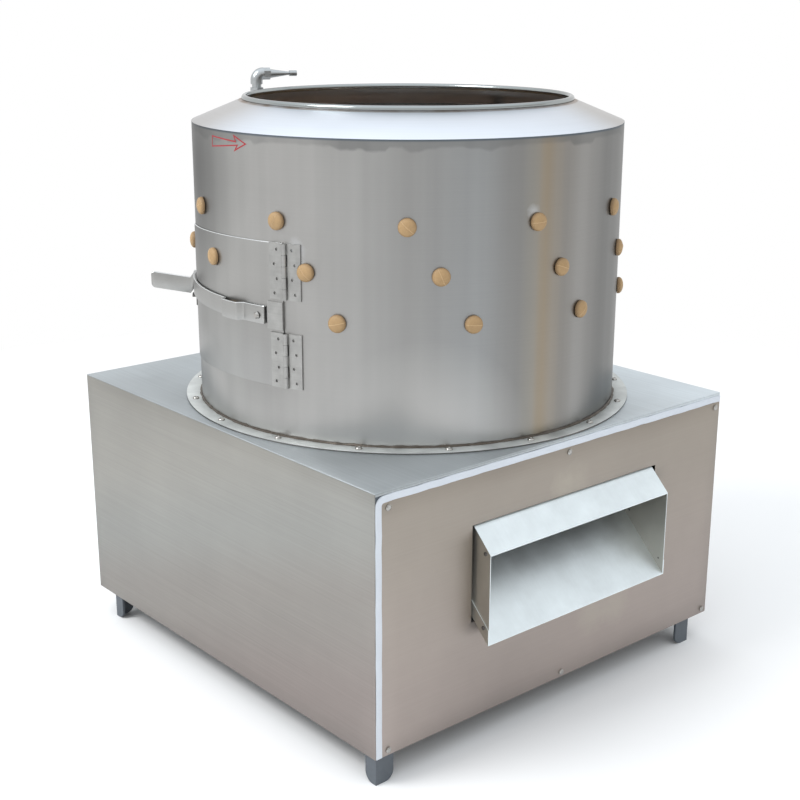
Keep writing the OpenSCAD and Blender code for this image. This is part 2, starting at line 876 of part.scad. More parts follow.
module chute_rivet_holes()
    for (s = rivet_spots, x = [chute_x0, chute_x1])
        translate([x, s[0], s[1]])
            rotate([0, 90, 0])
                cylinder(d = chute_rivet_d, h = 6 * chute_t, center = true);

// Rivets through the turned-up edges, and one through the hood alone on each side
module chute_rivets()
    color("dimgray")
        for (s = rivet_spots, side = [-1, 1]) {
            on_edge = s[1] < floor_z(s[0]) + chute_edge;
            face_x = chute_x + side * (chute_w / 2 + (on_edge ? chute_t : 0));
            translate([face_x, s[0], s[1]])
                rotate([0, side * 90, 0])
                    pan_screw(chute_rivet_d, chute_rivet_head, 1.6, chute_t * (on_edge ? 2 : 1));
        }

module drum_shell()
    color("silver")
        at_drum()
            difference() {
                ring(drum_ri, drum_r, deck_z, drum_top);
                arc_band(
                    window_a0, window_a1, drum_ri - 5, drum_r + 5,
                    door_z + door_lap, door_top - door_lap
                );
                wall_holes(drum_spots, drum_r);
            }

module flange_holes(z0, z1)
    for (k = [0:flange_count - 1])
        rotate([0, 0, flange_a + k * 360 / flange_count])
            translate([flange_screw_r, 0, z0])
                cylinder(d = flange_screw_d + 2 * seat_gap, h = z1 - z0);

module base_flange()
    color("silver")
        at_drum()
            difference() {
                ring(drum_r + seat_gap, flange_r, deck_z, deck_z + flange_t);
                flange_holes(deck_z - 1, deck_z + flange_t + 1);
            }

module flange_screws()
    color("gray")
        at_drum()
            for (k = [0:flange_count - 1])
                rotate([0, 0, flange_a + k * 360 / flange_count])
                    translate([flange_screw_r, 0, deck_z + flange_t])
                        pan_screw(
                            flange_screw_d, 1.7 * flange_screw_d,
                            flange_screw_d / 2, flange_t + sheet_t
                        );

// Conical sheet from the top of the wall to the rim ring
module drum_cone()
    color("whitesmoke")
        difference() {
            at_drum()
                rotate_extrude()
                    polygon([
                        [drum_r, drum_top],
                        [cone_end_r, cone_end_z],
                        [cone_end_r - cone_t * sin(cone_a), cone_end_z - cone_t * cos(cone_a)],
                        [drum_r - cone_t / sin(cone_a), drum_top]
                    ]);
            translate([inlet_x, inlet_y, drum_top])
                cylinder(d = inlet_d + 2 * seat_gap, h = 2 * rim_rise);
        }

module rim_ring()
    color("silver")
        at_drum()
            translate([0, 0, rim_z])
                rotate_extrude()
                    translate([rim_r, 0])
                        circle(d = rim_wire, $fn = 32);

module drum_fingers()
    color("burlywood")
        at_drum()
            wall_fingers(drum_spots, drum_ri, drum_r);

module door_panel()
    color("silver")
        at_drum()
            difference() {
                arc_band(door_free_a, door_hinge_a, door_r0, door_r1, door_z, door_top);
                wall_holes(door_spots, door_r1);
                radial(rivet_a, latch_z)
                    translate([0, 0, door_r0 - hole_reach])
                        cylinder(d = rivet_d + 2 * seat_gap, h = 2 * hole_reach);
            }

module door_fingers()
    color("burlywood")
        at_drum()
            wall_fingers(door_spots, door_r0, door_r1);

module at_pin()
    rotate([0, 0, hinge_a])
        translate([pin_r, 0, 0])
            children();

// Part of a leaf between two angles from the pin
module side_band(a, b, r, z0, z1)
    arc_band(hinge_a + min(a, b), hinge_a + max(a, b), r, r + leaf_t, z0, z1);

// Hinge leaf on the side of the pin given by s, with every second knuckle from the first one on
module hinge_leaf(z, s, r, first) {
    pitch = hinge_h / knuckle_count;
    edge_a = s * knuckle_clear_a;
    far_a = s * arc_a(leaf_w, r);
    difference() {
        union() {
            side_band(edge_a, far_a, r, z, z + hinge_h);
            for (k = [first:2:knuckle_count - 1]) {
                z0 = z + k * pitch + pass_gap / 2;
                z1 = z + (k + 1) * pitch - pass_gap / 2;
                side_band(0, 1.1 * edge_a, r, z0, z1);
                at_pin()
                    translate([0, 0, z0])
                        cylinder(d = knuckle_d, h = z1 - z0, $fn = 48);
            }
        }
        at_pin()
            translate([0, 0, z - 1])
                cylinder(d = hinge_pin_d + 2 * run_fit, h = hinge_h + 2, $fn = 48);
        for (k = [0:3])
            let (hole_a = s * arc_a(leaf_w * (k % 2 == 0 ? 0.66 : 0.48), r))
                radial(hinge_a + hole_a, z + hinge_h * (0.11 + 0.26 * k))
                    translate([0, 0, r - 1])
                        cylinder(d = leaf_hole_d, h = leaf_t + 2, $fn = 32);
    }
}

// Leaves on the drum, cut round the finger head beside them
module hinge_fixed_leaves()
    color("lightgray")
        at_drum()
            difference() {
                for (z = hinge_zs)
                    hinge_leaf(z, 1, drum_r + seat_gap, 0);
                for (s = drum_spots)
                    if (abs(s[0] - hinge_a) < 2 * arc_a(leaf_w, drum_r))
                        radial(s[0], s[1])
                            translate([0, 0, drum_r])
                                cylinder(d = head_d + 2 * pass_gap, h = 2 * knuckle_d);
            }

module hinge_door_leaves()
    color("lightgray")
        at_drum()
            for (z = hinge_zs)
                hinge_leaf(z, -1, leaf_r, 1);

module hinge_pins()
    color("gray")
        at_drum()
            at_pin()
                for (z = hinge_zs)
                    translate([0, 0, z])
                        cylinder(d = hinge_pin_d, h = hinge_h, $fn = 48);

// Turns the strap about its rivet, so that it slopes down to the handle
module on_rivet()
    rotate([0, 0, rivet_a])
        translate([0, 0, latch_z])
            rotate([strap_droop, 0, 0])
                translate([0, 0, -latch_z])
                    rotate([0, 0, -rivet_a])
                        children();

// Band of the strap between two angles
module strap_band(a0, a1, r0, r1)
    arc_band(a0, a1, r0, r1, latch_z - strap_w / 2, latch_z + strap_w / 2);

// Side of the hump, a little narrower than the strap
module hump_side(a0, a1)
    let (half = strap_w / 2 - strap_bend)
        arc_band(a0, a1, strap_mid_r, hump_mid_r, latch_z - half, latch_z + half);

module latch_strap() {
    a0 = hump_a - hump_half_a;
    a1 = hump_a + hump_half_a;
    color("silver")
        at_drum()
            on_rivet()
                difference() {
                    union() {
                        strap_band(
                            handle_a + strap_wall_a / 2, a0 + strap_wall_a - strap_bend_a,
                            strap_r0, strap_r1
                        );
                        strap_band(a1 - strap_wall_a + strap_bend_a, strap_end_a, strap_r0, strap_r1);
                        hump_side(a0 + strap_bend_a, a0 + strap_wall_a);
                        hump_side(a1 - strap_wall_a, a1 - strap_bend_a);
                        strap_band(a0, a1, hump_r, hump_r + strap_t);
                        handle_tab();
                    }
                    radial(rivet_a, latch_z)
                        translate([0, 0, strap_r0 - 5])
                            cylinder(d = rivet_d + 2 * run_fit, h = 10);
                }
}

// Flat handle, tilted about its middle, with rounded corners at its end
module handle_tab()
    rotate([0, 0, handle_a])
        translate([handle_mid_r, strap_t, latch_z])
            rotate([90, 0, 0])
                rotate([0, 0, handle_tilt])
                    translate([-handle_mid_r, 0, 0]) {
                        half = strap_w / 2;
                        block([strap_mid_r, -half, 0], [handle_reach - handle_r, half, strap_t]);
                        block([handle_mid_r, handle_r - half, 0], [handle_reach, half - handle_r, strap_t]);
                        for (s = [-1, 1])
                            translate([handle_reach - handle_r, s * (half - handle_r), 0])
                                cylinder(r = handle_r, h = strap_t);
                    }

// Pivot of the strap, with a collar that holds it off the door
module latch_rivet()
    color("gainsboro")
        at_drum()
            radial(rivet_a, latch_z) {
                translate([0, 0, door_r0])
                    cylinder(d = rivet_d, h = strap_r1 + pass_gap - door_r0);
                translate([0, 0, door_r1 + seat_gap])
                    cylinder(d = rivet_collar_d, h = strap_gap - pass_gap);
                translate([0, 0, strap_r1 + pass_gap])
                    cylinder(d1 = rivet_head_d, d2 = rivet_head_d * 0.6, h = rivet_head_h);
            }

// Flat plate on the door between the hinges, beside the strap's end
module latch_plate()
    color("lightgray")
        at_drum()
            arc_band(
                strap_end_a + arc_a(plate_end_gap, strap_r0), door_hinge_a,
                leaf_r, leaf_r + leaf_t,
                door_z + hinge_h + plate_end_gap, door_top - hinge_h - plate_end_gap
            );

// Bracket whose shelf holds the strap's end up
module latch_keeper()
    color("gray")
        at_drum() {
            r0 = drum_r + seat_gap;
            a0 = keeper_a - keeper_half_a;
            a1 = keeper_a + keeper_half_a;
            arc_band(a0, a1, r0, r0 + keeper_t, keeper_top - keeper_back, keeper_top);
            arc_band(a0, a1, r0, drum_r + keeper_reach, keeper_top - keeper_t, keeper_top);
        }

// Upright pipe through the cone, turned into a short arm by a cast bend
module water_elbow()
    color("lightsteelblue")
        translate([inlet_x, inlet_y, 0]) {
            stub_top = elbow_z - elbow_bend;
            pipe_top = stub_top - elbow_leg;
            translate([0, 0, spray_top + pass_gap])
                cylinder(d = inlet_d, h = pipe_top - spray_top - pass_gap);
            translate([0, 0, pipe_top])
                cylinder(d = elbow_d, h = elbow_leg);
            rotate([0, 0, tail_a])
                translate([elbow_bend, 0, stub_top])
                    rotate([90, 0, 0])
                        rotate([0, 0, 90])
                            rotate_extrude(angle = 90)
                                translate([elbow_bend, 0])
                                    circle(d = elbow_d, $fn = 48);
            rotate([0, 0, tail_a])
                translate([elbow_bend, 0, elbow_z])
                    rotate([0, 90, 0])
                        cylinder(d = elbow_d, h = elbow_arm - elbow_bend);
        }

// Flange that holds the pipe on the cone
module inlet_flange()
    color("silver")
        difference() {
            at_drum()
                rotate([0, 0, inlet_a])
                    translate([inlet_r, 0, inlet_cone_z])
                        rotate([0, cone_a, 0])
                            translate([0, 0, seat_gap])
                                cylinder(d = inlet_flange_d, h = inlet_flange_t);
            translate([inlet_x, inlet_y, inlet_cone_z - inlet_flange_d])
                cylinder(d = inlet_d + 2 * seat_gap, h = 2 * inlet_flange_d);
        }

// Nut on the pipe, just above the flange's high side
module inlet_nut()
    color("silver")
        translate([inlet_x, inlet_y, 0]) {
            nut_r = inlet_d / 2 + inlet_nut_wall;
            z0 = inlet_cone_z + inlet_flange_t / cos(cone_a) + nut_r * tan(cone_a) + pass_gap;
            translate([0, 0, z0])
                difference() {
                    cylinder(r = nut_r, h = inlet_nut_h, $fn = 6);
                    translate([0, 0, -1])
                        cylinder(d = inlet_d, h = inlet_nut_h + 2);
                }
        }

// Nut, taper and thick tip for a water hose
module hose_tail()
    color("silver")
        translate([inlet_x, inlet_y, elbow_z])
            rotate([0, 0, tail_a])
                translate([elbow_arm, 0, 0])
                    rotate([0, 90, 0]) {
                        taper_len = tail_len - tail_nut_h - tail_tip_len;
                        cylinder(d = tail_nut_d, h = tail_nut_h, $fn = 6);
                        translate([0, 0, tail_nut_h])
                            cylinder(d1 = 0.75 * tail_nut_d, d2 = 0.55 * tail_tip_d, h = taper_len);
                        translate([0, 0, tail_len - tail_tip_len])
                            cylinder(d = tail_tip_d, h = tail_tip_len);
                    }

module spray_ring()
    color("silver")
        at_drum()
            translate([0, 0, spray_z])
                rotate_extrude()
                    translate([inlet_r, 0])
                        circle(d = spray_d, $fn = 32);

// Tabs that carry the spray ring from the drum wall
module spray_clips()
    color("silver")
        at_drum()
            for (a = clip_angles)
                rotate([0, 0, a])
                    block(
                        [inlet_r + spray_d / 2 + seat_gap, -clip_w / 2, spray_z - clip_t / 2],
                        [drum_ri - 3 * pass_gap / 4, clip_w / 2, spray_z + clip_t / 2]
                    );

module main_shaft()
    color("gray")
        at_drum() {
            translate([0, 0, shaft_z])
                cylinder(d = shaft_d, h = plate_z - shaft_z);
            translate([0, 0, plate_z])
                cylinder(d = stud_d, h = plate_t + stud_len);
        }

// Places of the plate's fingers; the line of the paddles stays free
plate_spots = [
    for (k = [0:len(ring_radii) - 1], i = [0:ring_counts[k] - 1])
        let (a = (i + 0.5) * 360 / ring_counts[k])
            [ring_radii[k] * cos(a), ring_radii[k] * sin(a)]
];

module turning_plate()
    color("silver")
        at_drum()
            difference() {
                translate([0, 0, plate_z])
                    cylinder(r = plate_r, h = plate_t);
                translate([0, 0, plate_z - 1])
                    cylinder(d = stud_d, h = plate_t + 2);
                for (s = plate_spots)
                    translate([s[0], s[1], plate_z - 1])
                        cylinder(d = finger_hole_d, h = plate_t + 2);
            }

module plate_hub()
    color("dimgray")
        at_drum()
            difference() {
                union() {
                    translate([0, 0, plate_z - hub_flange_t])
                        cylinder(d = hub_flange_d, h = hub_flange_t);
                    translate([0, 0, plate_z - hub_len])
                        cylinder(d = hub_d, h = hub_len);
                }
                translate([0, 0, plate_z - hub_len - 1])
                    cylinder(d = shaft_d, h = hub_len + 2);
            }

module plate_fingers()
    color("burlywood")
        at_drum()
            for (s = plate_spots)
                translate([s[0], s[1], plate_z - seat_gap])
                    rotate([180, 0, 0])
                        finger(plate_t + 2 * seat_gap);

module feather_paddles()
    color("silver")
        at_drum()
            for (s = [-1, 1])
                block(
                    [s * paddle_r0, -paddle_t / 2, pan_z + paddle_gap],
                    [s * paddle_r1, paddle_t / 2, plate_z]
                );

module shaft_nut()
    color("gray")
        at_drum()
            translate([0, 0, plate_top])
                difference() {
                    cylinder(d = 1.73 * stud_d, h = nut_h, $fn = 6);
                    translate([0, 0, -1])
                        cylinder(d = stud_d, h = nut_h + 2);
                }

module housing_bolt_holes(z, h)
    for (x = [-bolt_offset, bolt_offset], y = [-beam_offset, beam_offset])
        translate([x, y, z])
            cylinder(d = bolt_d + 2 * seat_gap, h = h);

// Flanged tube on the two bearing beams, bored for a bearing at each end
module bearing_housing()
    color("dimgray")
        at_drum()
            difference() {
                union() {
                    translate([0, 0, housing_z])
                        cylinder(d = housing_d, h = housing_h);
                    block(
                        [-housing_flange_x, -housing_flange_y, beam_top],
                        [housing_flange_x, housing_flange_y, beam_top + housing_flange_t]
                    );
                }
                translate([0, 0, housing_z - 1])
                    cylinder(d = bearing_d - 2 * bearing_step, h = housing_h + 2);
                for (z = [housing_z - 1, housing_end - bearing_h - bearing_inset])
                    translate([0, 0, z])
                        cylinder(d = bearing_d, h = bearing_h + bearing_inset + 1);
                housing_bolt_holes(beam_top - 1, housing_flange_t + 2);
            }

module shaft_bearings()
    color("silver")
        at_drum()
            for (z = [housing_z + bearing_inset, housing_end - bearing_inset - bearing_h])
                ring(shaft_d / 2 + run_fit, bearing_d / 2, z, z + bearing_h);

// Hexagon bolt, its shank downwards from the head's seat
module hex_bolt(d, len) {
    translate([0, 0, -len])
        cylinder(d = d, h = len);
    cylinder(d = hex_ratio * d, h = hex_head * d, $fn = 6);
}

module motor_bolt_spots()
    for (a = [45:90:315])
        rotate([0, 0, a])
            translate([motor_bolt_r, 0, 0])
                children();

// Bolts of the bearing housing and of the motor
module drive_bolts()
    color("gray") {
        at_drum()
            for (x = [-bolt_offset, bolt_offset], y = [-beam_offset, beam_offset])
                translate([x, y, beam_top + housing_flange_t])
                    hex_bolt(bolt_d, housing_flange_t + beam_wall + bolt_drop);
        translate([motor_x, motor_y, beam_z + motor_flange_t])
            motor_bolt_spots()
                hex_bolt(motor_bolt_d, motor_flange_t + motor_plate_t);
    }

// Rim of a pulley with one belt groove, on a bore of radius r0
module grooved_rim(r0, r1)
    rotate_extrude()
        polygon([
            [r0, belt_z - pulley_w / 2],
            [r1, belt_z - pulley_w / 2],
            [r1, belt_z - groove_top],
            [r1 - groove_depth, belt_z - groove_bottom],
            [r1 - groove_depth, belt_z + groove_bottom],
            [r1, belt_z + groove_top],
            [r1, belt_z + pulley_w / 2],
            [r0, belt_z + pulley_w / 2]
        ]);

module driven_pulley()
    color("dimgray")
        at_drum() {
            rim_in = pulley_d / 2 - groove_depth - rim_wall;
            hub_r = shaft_d / 2 + hub_wall;
            grooved_rim(rim_in, pulley_d / 2);
            ring(hub_r - 1, rim_in + 1, belt_z - web_t / 2, belt_z + web_t / 2);
            ring(shaft_d / 2, hub_r, belt_z - pulley_w / 2, belt_z + hub_rise);
        }

module motor_pulley()
    color("dimgray")
        translate([motor_x, motor_y, 0])
            grooved_rim(motor_shaft_d / 2, motor_pulley_d / 2);

// Outline of the belt's section at a pulley of radius r
function belt_section(r) = [
    [r - belt_depth, belt_z - groove_half(belt_depth)],
    [r - belt_top_in, belt_z - groove_half(belt_top_in)],
    [r - belt_top_in, belt_z + groove_half(belt_top_in)],
    [r - belt_depth, belt_z + groove_half(belt_depth)]
];
// Half width of the belt at a depth below the pulley's rim
function groove_half(depth) = groove_top - (groove_top - groove_bottom) * depth / groove_depth - belt_gap;

// Places along the belt: an arc on each pulley, joined by the two straight runs
belt_span = norm([motor_dx, motor_dy]);
belt_line_a = atan2(motor_dy, motor_dx);
belt_touch_a = acos((pulley_d - motor_pulley_d) / 2 / belt_span);
belt_steps = 48;
belt_rings = concat(
    [
        for (k = [0:belt_steps])
            let (a = belt_line_a + belt_touch_a + k * (360 - 2 * belt_touch_a) / belt_steps)
                belt_ring([0, 0], a, pulley_d / 2)
    ],
    [
        for (k = [0:belt_steps / 2])
            let (a = belt_line_a - belt_touch_a + k * 4 * belt_touch_a / belt_steps)
                belt_ring([motor_dx, motor_dy], a, motor_pulley_d / 2)
    ]
);
// Corners of the belt's section at one place
function belt_ring(at, a, r) = [
    for (c = belt_section(r)) [at[0] + c[0] * cos(a), at[1] + c[0] * sin(a), c[1]]
];
// Two triangles on each side of the belt between neighbouring places
belt_faces = [
    for (i = [0:len(belt_rings) - 1], k = [0:3])
        let (a = 4 * i, b = 4 * ((i + 1) % len(belt_rings)), m = (k + 1) % 4)
            each [[a + k, a + m, b + m], [a + k, b + m, b + k]]
];

// V belt swept round both pulleys
module drive_belt()
    color("black")
        at_drum()
            polyhedron(points = [for (ring = belt_rings) each ring], faces = belt_faces);

// Flange motor standing on its plate, shaft down, with ribs and a fan cover
module motor_body()
    color("steelblue")
        translate([motor_x, motor_y, 0])
            difference() {
                union() {
                    rib_z = beam_z + motor_flange_t;
                    rib_top = motor_top - motor_cover_h;
                    translate([0, 0, beam_z])
                        cylinder(d = motor_flange_d, h = motor_flange_t);
                    translate([0, 0, rib_z])
                        cylinder(d = motor_d - 2 * fin_h, h = rib_top - rib_z);
                    for (k = [0:fin_count - 1])
                        rotate([0, 0, k * 360 / fin_count])
                            block([0, -fin_t / 2, rib_z], [motor_d / 2, fin_t / 2, rib_top]);
                    translate([0, 0, rib_top])
                        cylinder(d = motor_d, h = motor_cover_h);
                }
                translate([0, 0, beam_z - 1])
                    cylinder(d = motor_shaft_d + 2 * run_fit, h = motor_bore_h + 1);
                translate([0, 0, beam_z - 1])
                    motor_bolt_spots()
                        cylinder(d = motor_bolt_d + 2 * seat_gap, h = motor_flange_t + 2);
            }

module motor_shaft()
    color("silver")
        translate([motor_x, motor_y, shaft_z])
            cylinder(d = motor_shaft_d, h = beam_z + motor_bore_h - pass_gap - shaft_z);

module motor_plate()
    color("slategray")
        difference() {
            block(
                [motor_plate_x, drum_y + beam_offset - beam_w / 2, beam_z - motor_plate_t],
                [right_beam_x + beam_w, rear_beam_y + beam_w, beam_z]
            );
            translate([motor_x, motor_y, beam_z - motor_plate_t - 1]) {
                cylinder(d = motor_shaft_d + 2 * motor_plate_room, h = motor_plate_t + 2);
                motor_bolt_spots()
                    cylinder(d = motor_bolt_d + 2 * seat_gap, h = motor_plate_t + 2);
            }
        }

// Box on the back panel, open towards it
module switch_box()
    color("gainsboro")
        difference() {
            block([box_x - box_w / 2, box_y, box_z], [box_x + box_w / 2, box_face, box_z + box_h]);
            block(
                [box_x - box_w / 2 + box_wall, box_y - 1, box_z + box_wall],
                [box_x + box_w / 2 - box_wall, box_face - box_wall, box_z + box_h - box_wall]
            );
            for (s = [-1, 1])
                translate([box_x, box_face, button_mid_z + s * button_pitch / 2])
                    rotate([90, 0, 0])
                        cylinder(d = button_d + 2 * run_fit, h = 4 * box_wall, center = true);
            translate([box_x, box_y + box_d / 2, box_z - 1])
                cylinder(d = gland_thread_d, h = box_wall + 2);
        }

// Button with a flange behind the face of the box
module button(s)
    translate([box_x, box_face, button_mid_z + s * button_pitch / 2])
        rotate([-90, 0, 0]) {
            translate([0, 0, -box_wall - pass_gap])
                cylinder(d = button_d, h = box_wall + pass_gap + button_h);
            translate([0, 0, -box_wall - pass_gap - button_flange])
                cylinder(d = button_d + 2 * button_lip, h = button_flange);
        }

module start_button()
    color("green")
        button(1);

module stop_button()
    color("firebrick")
        button(-1);

// Gland in the floor of the switch box, for a supply cable
module cable_gland()
    color("dimgray")
        translate([box_x, box_y + box_d / 2, 0])
            difference() {
                union() {
                    translate([0, 0, box_z - gland_nut_h])
                        cylinder(d = gland_d * 1.15, h = gland_nut_h, $fn = 6);
                    translate([0, 0, box_z - gland_len])
                        cylinder(d = gland_cap_d, h = gland_len);
                    translate([0, 0, box_z - 1])
                        cylinder(d = gland_thread_d, h = box_wall + 1);
                }
                translate([0, 0, box_z - gland_len - 1])
                    cylinder(d = gland_bore_d, h = gland_len + box_wall + 2);
            }

leg_front_left();
leg_front_right();
leg_rear_left();
leg_rear_right();
top_rails();
bottom_rails();
drive_beams();
deck_plate();
left_side_panel();
right_side_panel();
back_panel();
back_panel_screws();
front_panel();
panel_seal();
front_panel_screws();
feather_pan();
pan_wall();
chute_floor();
chute_hood();
chute_rivets();
drum_shell();
base_flange();
flange_screws();
drum_cone();
rim_ring();
drum_fingers();
door_panel();
door_fingers();
hinge_fixed_leaves();
hinge_door_leaves();
hinge_pins();
latch_strap();
latch_rivet();
latch_plate();
latch_keeper();
water_elbow();
inlet_flange();
inlet_nut();
hose_tail();
spray_ring();
spray_clips();
main_shaft();
turning_plate();
plate_hub();
plate_fingers();
feather_paddles();
shaft_nut();
bearing_housing();
shaft_bearings();
drive_bolts();
driven_pulley();
drive_belt();
motor_body();
motor_shaft();
motor_pulley();
motor_plate();
switch_box();
start_button();
stop_button();
cable_gland();
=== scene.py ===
import json
import math

import bmesh
import bpy
from mathutils import Matrix, Vector, noise


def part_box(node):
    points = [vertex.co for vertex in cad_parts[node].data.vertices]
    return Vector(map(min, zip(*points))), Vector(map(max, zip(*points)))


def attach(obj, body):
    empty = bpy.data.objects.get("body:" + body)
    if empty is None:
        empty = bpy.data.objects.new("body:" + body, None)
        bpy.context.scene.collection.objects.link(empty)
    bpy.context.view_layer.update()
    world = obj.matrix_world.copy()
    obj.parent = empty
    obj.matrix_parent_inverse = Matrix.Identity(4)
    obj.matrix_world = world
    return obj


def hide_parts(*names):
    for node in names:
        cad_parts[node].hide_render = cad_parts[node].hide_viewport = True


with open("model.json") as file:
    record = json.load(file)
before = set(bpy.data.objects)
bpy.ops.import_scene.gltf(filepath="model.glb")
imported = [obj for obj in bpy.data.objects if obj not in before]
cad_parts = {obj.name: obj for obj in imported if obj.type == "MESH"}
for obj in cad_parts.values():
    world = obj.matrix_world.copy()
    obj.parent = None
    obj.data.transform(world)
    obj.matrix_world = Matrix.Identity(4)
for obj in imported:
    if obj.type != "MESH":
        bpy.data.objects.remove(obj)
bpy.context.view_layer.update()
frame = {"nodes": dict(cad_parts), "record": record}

scene = bpy.context.scene
scene.view_settings.view_transform = "Standard"
print("frame loaded:", len(frame["nodes"]), "solids")


# Camera: a standing view of the door and the chute
view = {"place": (-1.374686, -1.602115, 1.017383), "azimuth": -40.7747, "elevation": 16.5205,
        "roll": 0.1226, "lens": 61.168, "sensor": 36.0}


def placeCamera():
    turn = math.radians(view["azimuth"])
    lift = math.radians(view["elevation"])
    back = Vector((math.sin(turn) * math.cos(lift), -math.cos(turn) * math.cos(lift), math.sin(lift)))
    right = Vector((math.cos(turn), math.sin(turn), 0))
    axes = Matrix((right, back.cross(right), back)).transposed()
    data = bpy.data.cameras.new("camera")
    data.lens = view["lens"]
    data.sensor_width = view["sensor"]
    camera = bpy.data.objects.new("camera", data)
    scene.collection.objects.link(camera)
    roll = Matrix.Rotation(math.radians(view["roll"]), 4, "Z")
    camera.matrix_world = Matrix.Translation(view["place"]) @ axes.to_4x4() @ roll
    scene.camera = camera
    return back


towardsCamera = placeCamera()


# Small tools. Pieces are modelled in millimetres and scaled once at the end.
def boxOf(node):
    low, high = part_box(node)
    return low * 1000, high * 1000


def only(geom, kind):
    return [g for g in geom if isinstance(g, kind)]


def polar(centre, radius, degrees, z):
    angle = math.radians(degrees)
    return Vector((centre.x + radius * math.cos(angle), centre.y + radius * math.sin(angle), z))


def newEdge(bm, first, second):
    return [bm.edges.new((bm.verts.new(first), bm.verts.new(second)))]


def sweepLine(bm, edges, step):
    grown = bmesh.ops.extrude_edge_only(bm, edges=edges)["geom"]
    tips = only(grown, bmesh.types.BMVert)
    bmesh.ops.translate(bm, vec=step, verts=tips)
    tips = set(tips)
    return [e for e in only(grown, bmesh.types.BMEdge) if e.verts[0] in tips and e.verts[1] in tips]


def sweepArc(bm, edges, centre, axis, degrees, steps):
    turn = Matrix.Rotation(math.radians(degrees / steps), 3, axis)
    for i in range(steps):
        edges = sweepLine(bm, edges, (0, 0, 0))
        tips = list({v for e in edges for v in e.verts})
        bmesh.ops.rotate(bm, cent=centre, matrix=turn, verts=tips)
    return edges


def lathe(bm, outline, centre, steps):
    verts = [bm.verts.new((centre.x + r, centre.y, z)) for r, z in outline]
    edges = [bm.edges.new((verts[i - 1], verts[i])) for i in range(1, len(verts))]
    if outline[0][0] > 0:
        edges.append(bm.edges.new((verts[-1], verts[0])))
    bmesh.ops.spin(bm, geom=verts + edges, cent=centre, axis=(0, 0, 1), dvec=(0, 0, 0),
                   angle=2 * math.pi, steps=steps, use_merge=True, use_duplicate=False)


def wall(bm, thickness, towards):
    # gives a sheet its thickness; towards says which way a face looks
    bmesh.ops.recalc_face_normals(bm, faces=bm.faces[:])
    bm.normal_update()
    if sum(f.normal.dot(towards(f.calc_center_median())) for f in bm.faces) < 0:
        bmesh.ops.reverse_faces(bm, faces=bm.faces[:])
    bm.normal_update()
    bmesh.ops.solidify(bm, geom=bm.faces[:], thickness=thickness)


def roundOff(bm, geom, width, segments, affect="EDGES", clamp=False):
    return bmesh.ops.bevel(bm, geom=geom, offset=width, offset_type="OFFSET", affect=affect,
                           segments=segments, profile=0.5, material=-1, clamp_overlap=clamp)["faces"]


def crispEdges(bm, angle):
    bm.normal_update()
    return [e for e in bm.edges
            if len(e.link_faces) == 2 and e.calc_face_angle() > math.radians(angle)]


def softEdges(bm, width, angle=40, segments=2):
    roundOff(bm, crispEdges(bm, angle), width, segments, clamp=True)


def highlightCut(bm, edges, width):
    # a bevelled edge in the piece's second finish, painted pale as a highlight
    for face in roundOff(bm, edges, width, 2):
        face.material_index = 1


def ring(radius, z, wire, sides):
    angles = [2 * math.pi * i / sides for i in range(sides)]
    return [(radius + wire * math.cos(a), z + wire * math.sin(a)) for a in angles]


def copyInto(bm, mesh, places):
    for place in places:
        start = len(bm.verts)
        bm.from_mesh(mesh)
        bm.verts.ensure_lookup_table()
        bmesh.ops.transform(bm, matrix=place, verts=bm.verts[start:])


def finishPiece(bm, name, material, body, replaced=(), sharp=35):
    bmesh.ops.remove_doubles(bm, verts=bm.verts[:], dist=0.001)
    bmesh.ops.recalc_face_normals(bm, faces=bm.faces[:])
    bmesh.ops.scale(bm, vec=(0.001, 0.001, 0.001), verts=bm.verts[:])
    for face in bm.faces:
        face.smooth = True
    mesh = bpy.data.meshes.new(name)
    bm.to_mesh(mesh)
    bm.free()
    mesh.set_sharp_from_angle(angle=math.radians(sharp))
    for finish in material if isinstance(material, list) else [material]:
        mesh.materials.append(finish)
    piece = bpy.data.objects.new(name, mesh)
    scene.collection.objects.link(piece)
    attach(piece, body)
    if replaced:
        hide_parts(*replaced)
    return piece


drumLow, drumHigh = boxOf("drum_shell")
axis = Vector((round((drumLow.x + drumHigh.x) / 2, 1), round((drumLow.y + drumHigh.y) / 2, 1), 0))
axisPlace = (axis.x / 1000, axis.y / 1000, 0)


# Finishes
def newFinish(name, metallic, roughness):
    material = bpy.data.materials.new(name)
    material.use_nodes = True
    tree = material.node_tree
    shader = tree.nodes["Principled BSDF"]
    shader.inputs["Metallic"].default_value = metallic
    shader.inputs["Roughness"].default_value = roughness
    return material, tree, shader


def feed(tree, socket, value):
    # a socket takes a link, a colour or a number
    if isinstance(value, bpy.types.NodeSocket):
        tree.links.new(value, socket)
    elif isinstance(value, tuple):
        socket.default_value = (*value, 1)
    else:
        socket.default_value = value


def coords(tree, scale=(1, 1, 1), shift=(0, 0, 0), turn=0.0):
    coord = tree.nodes.new("ShaderNodeTexCoord")
    mapping = tree.nodes.new("ShaderNodeMapping")
    mapping.inputs["Scale"].default_value = scale
    mapping.inputs["Location"].default_value = shift
    mapping.inputs["Rotation"].default_value = (0, 0, turn)
    tree.links.new(coord.outputs["Object"], mapping.inputs["Vector"])
    return mapping.outputs["Vector"]


def grain(tree, scale, detail=3.0, rough=0.55):
    texture = tree.nodes.new("ShaderNodeTexNoise")
    texture.inputs["Scale"].default_value = 1.0
    texture.inputs["Detail"].default_value = detail
    texture.inputs["Roughness"].default_value = rough
    tree.links.new(coords(tree, scale), texture.inputs["Vector"])
    return texture.outputs[0]


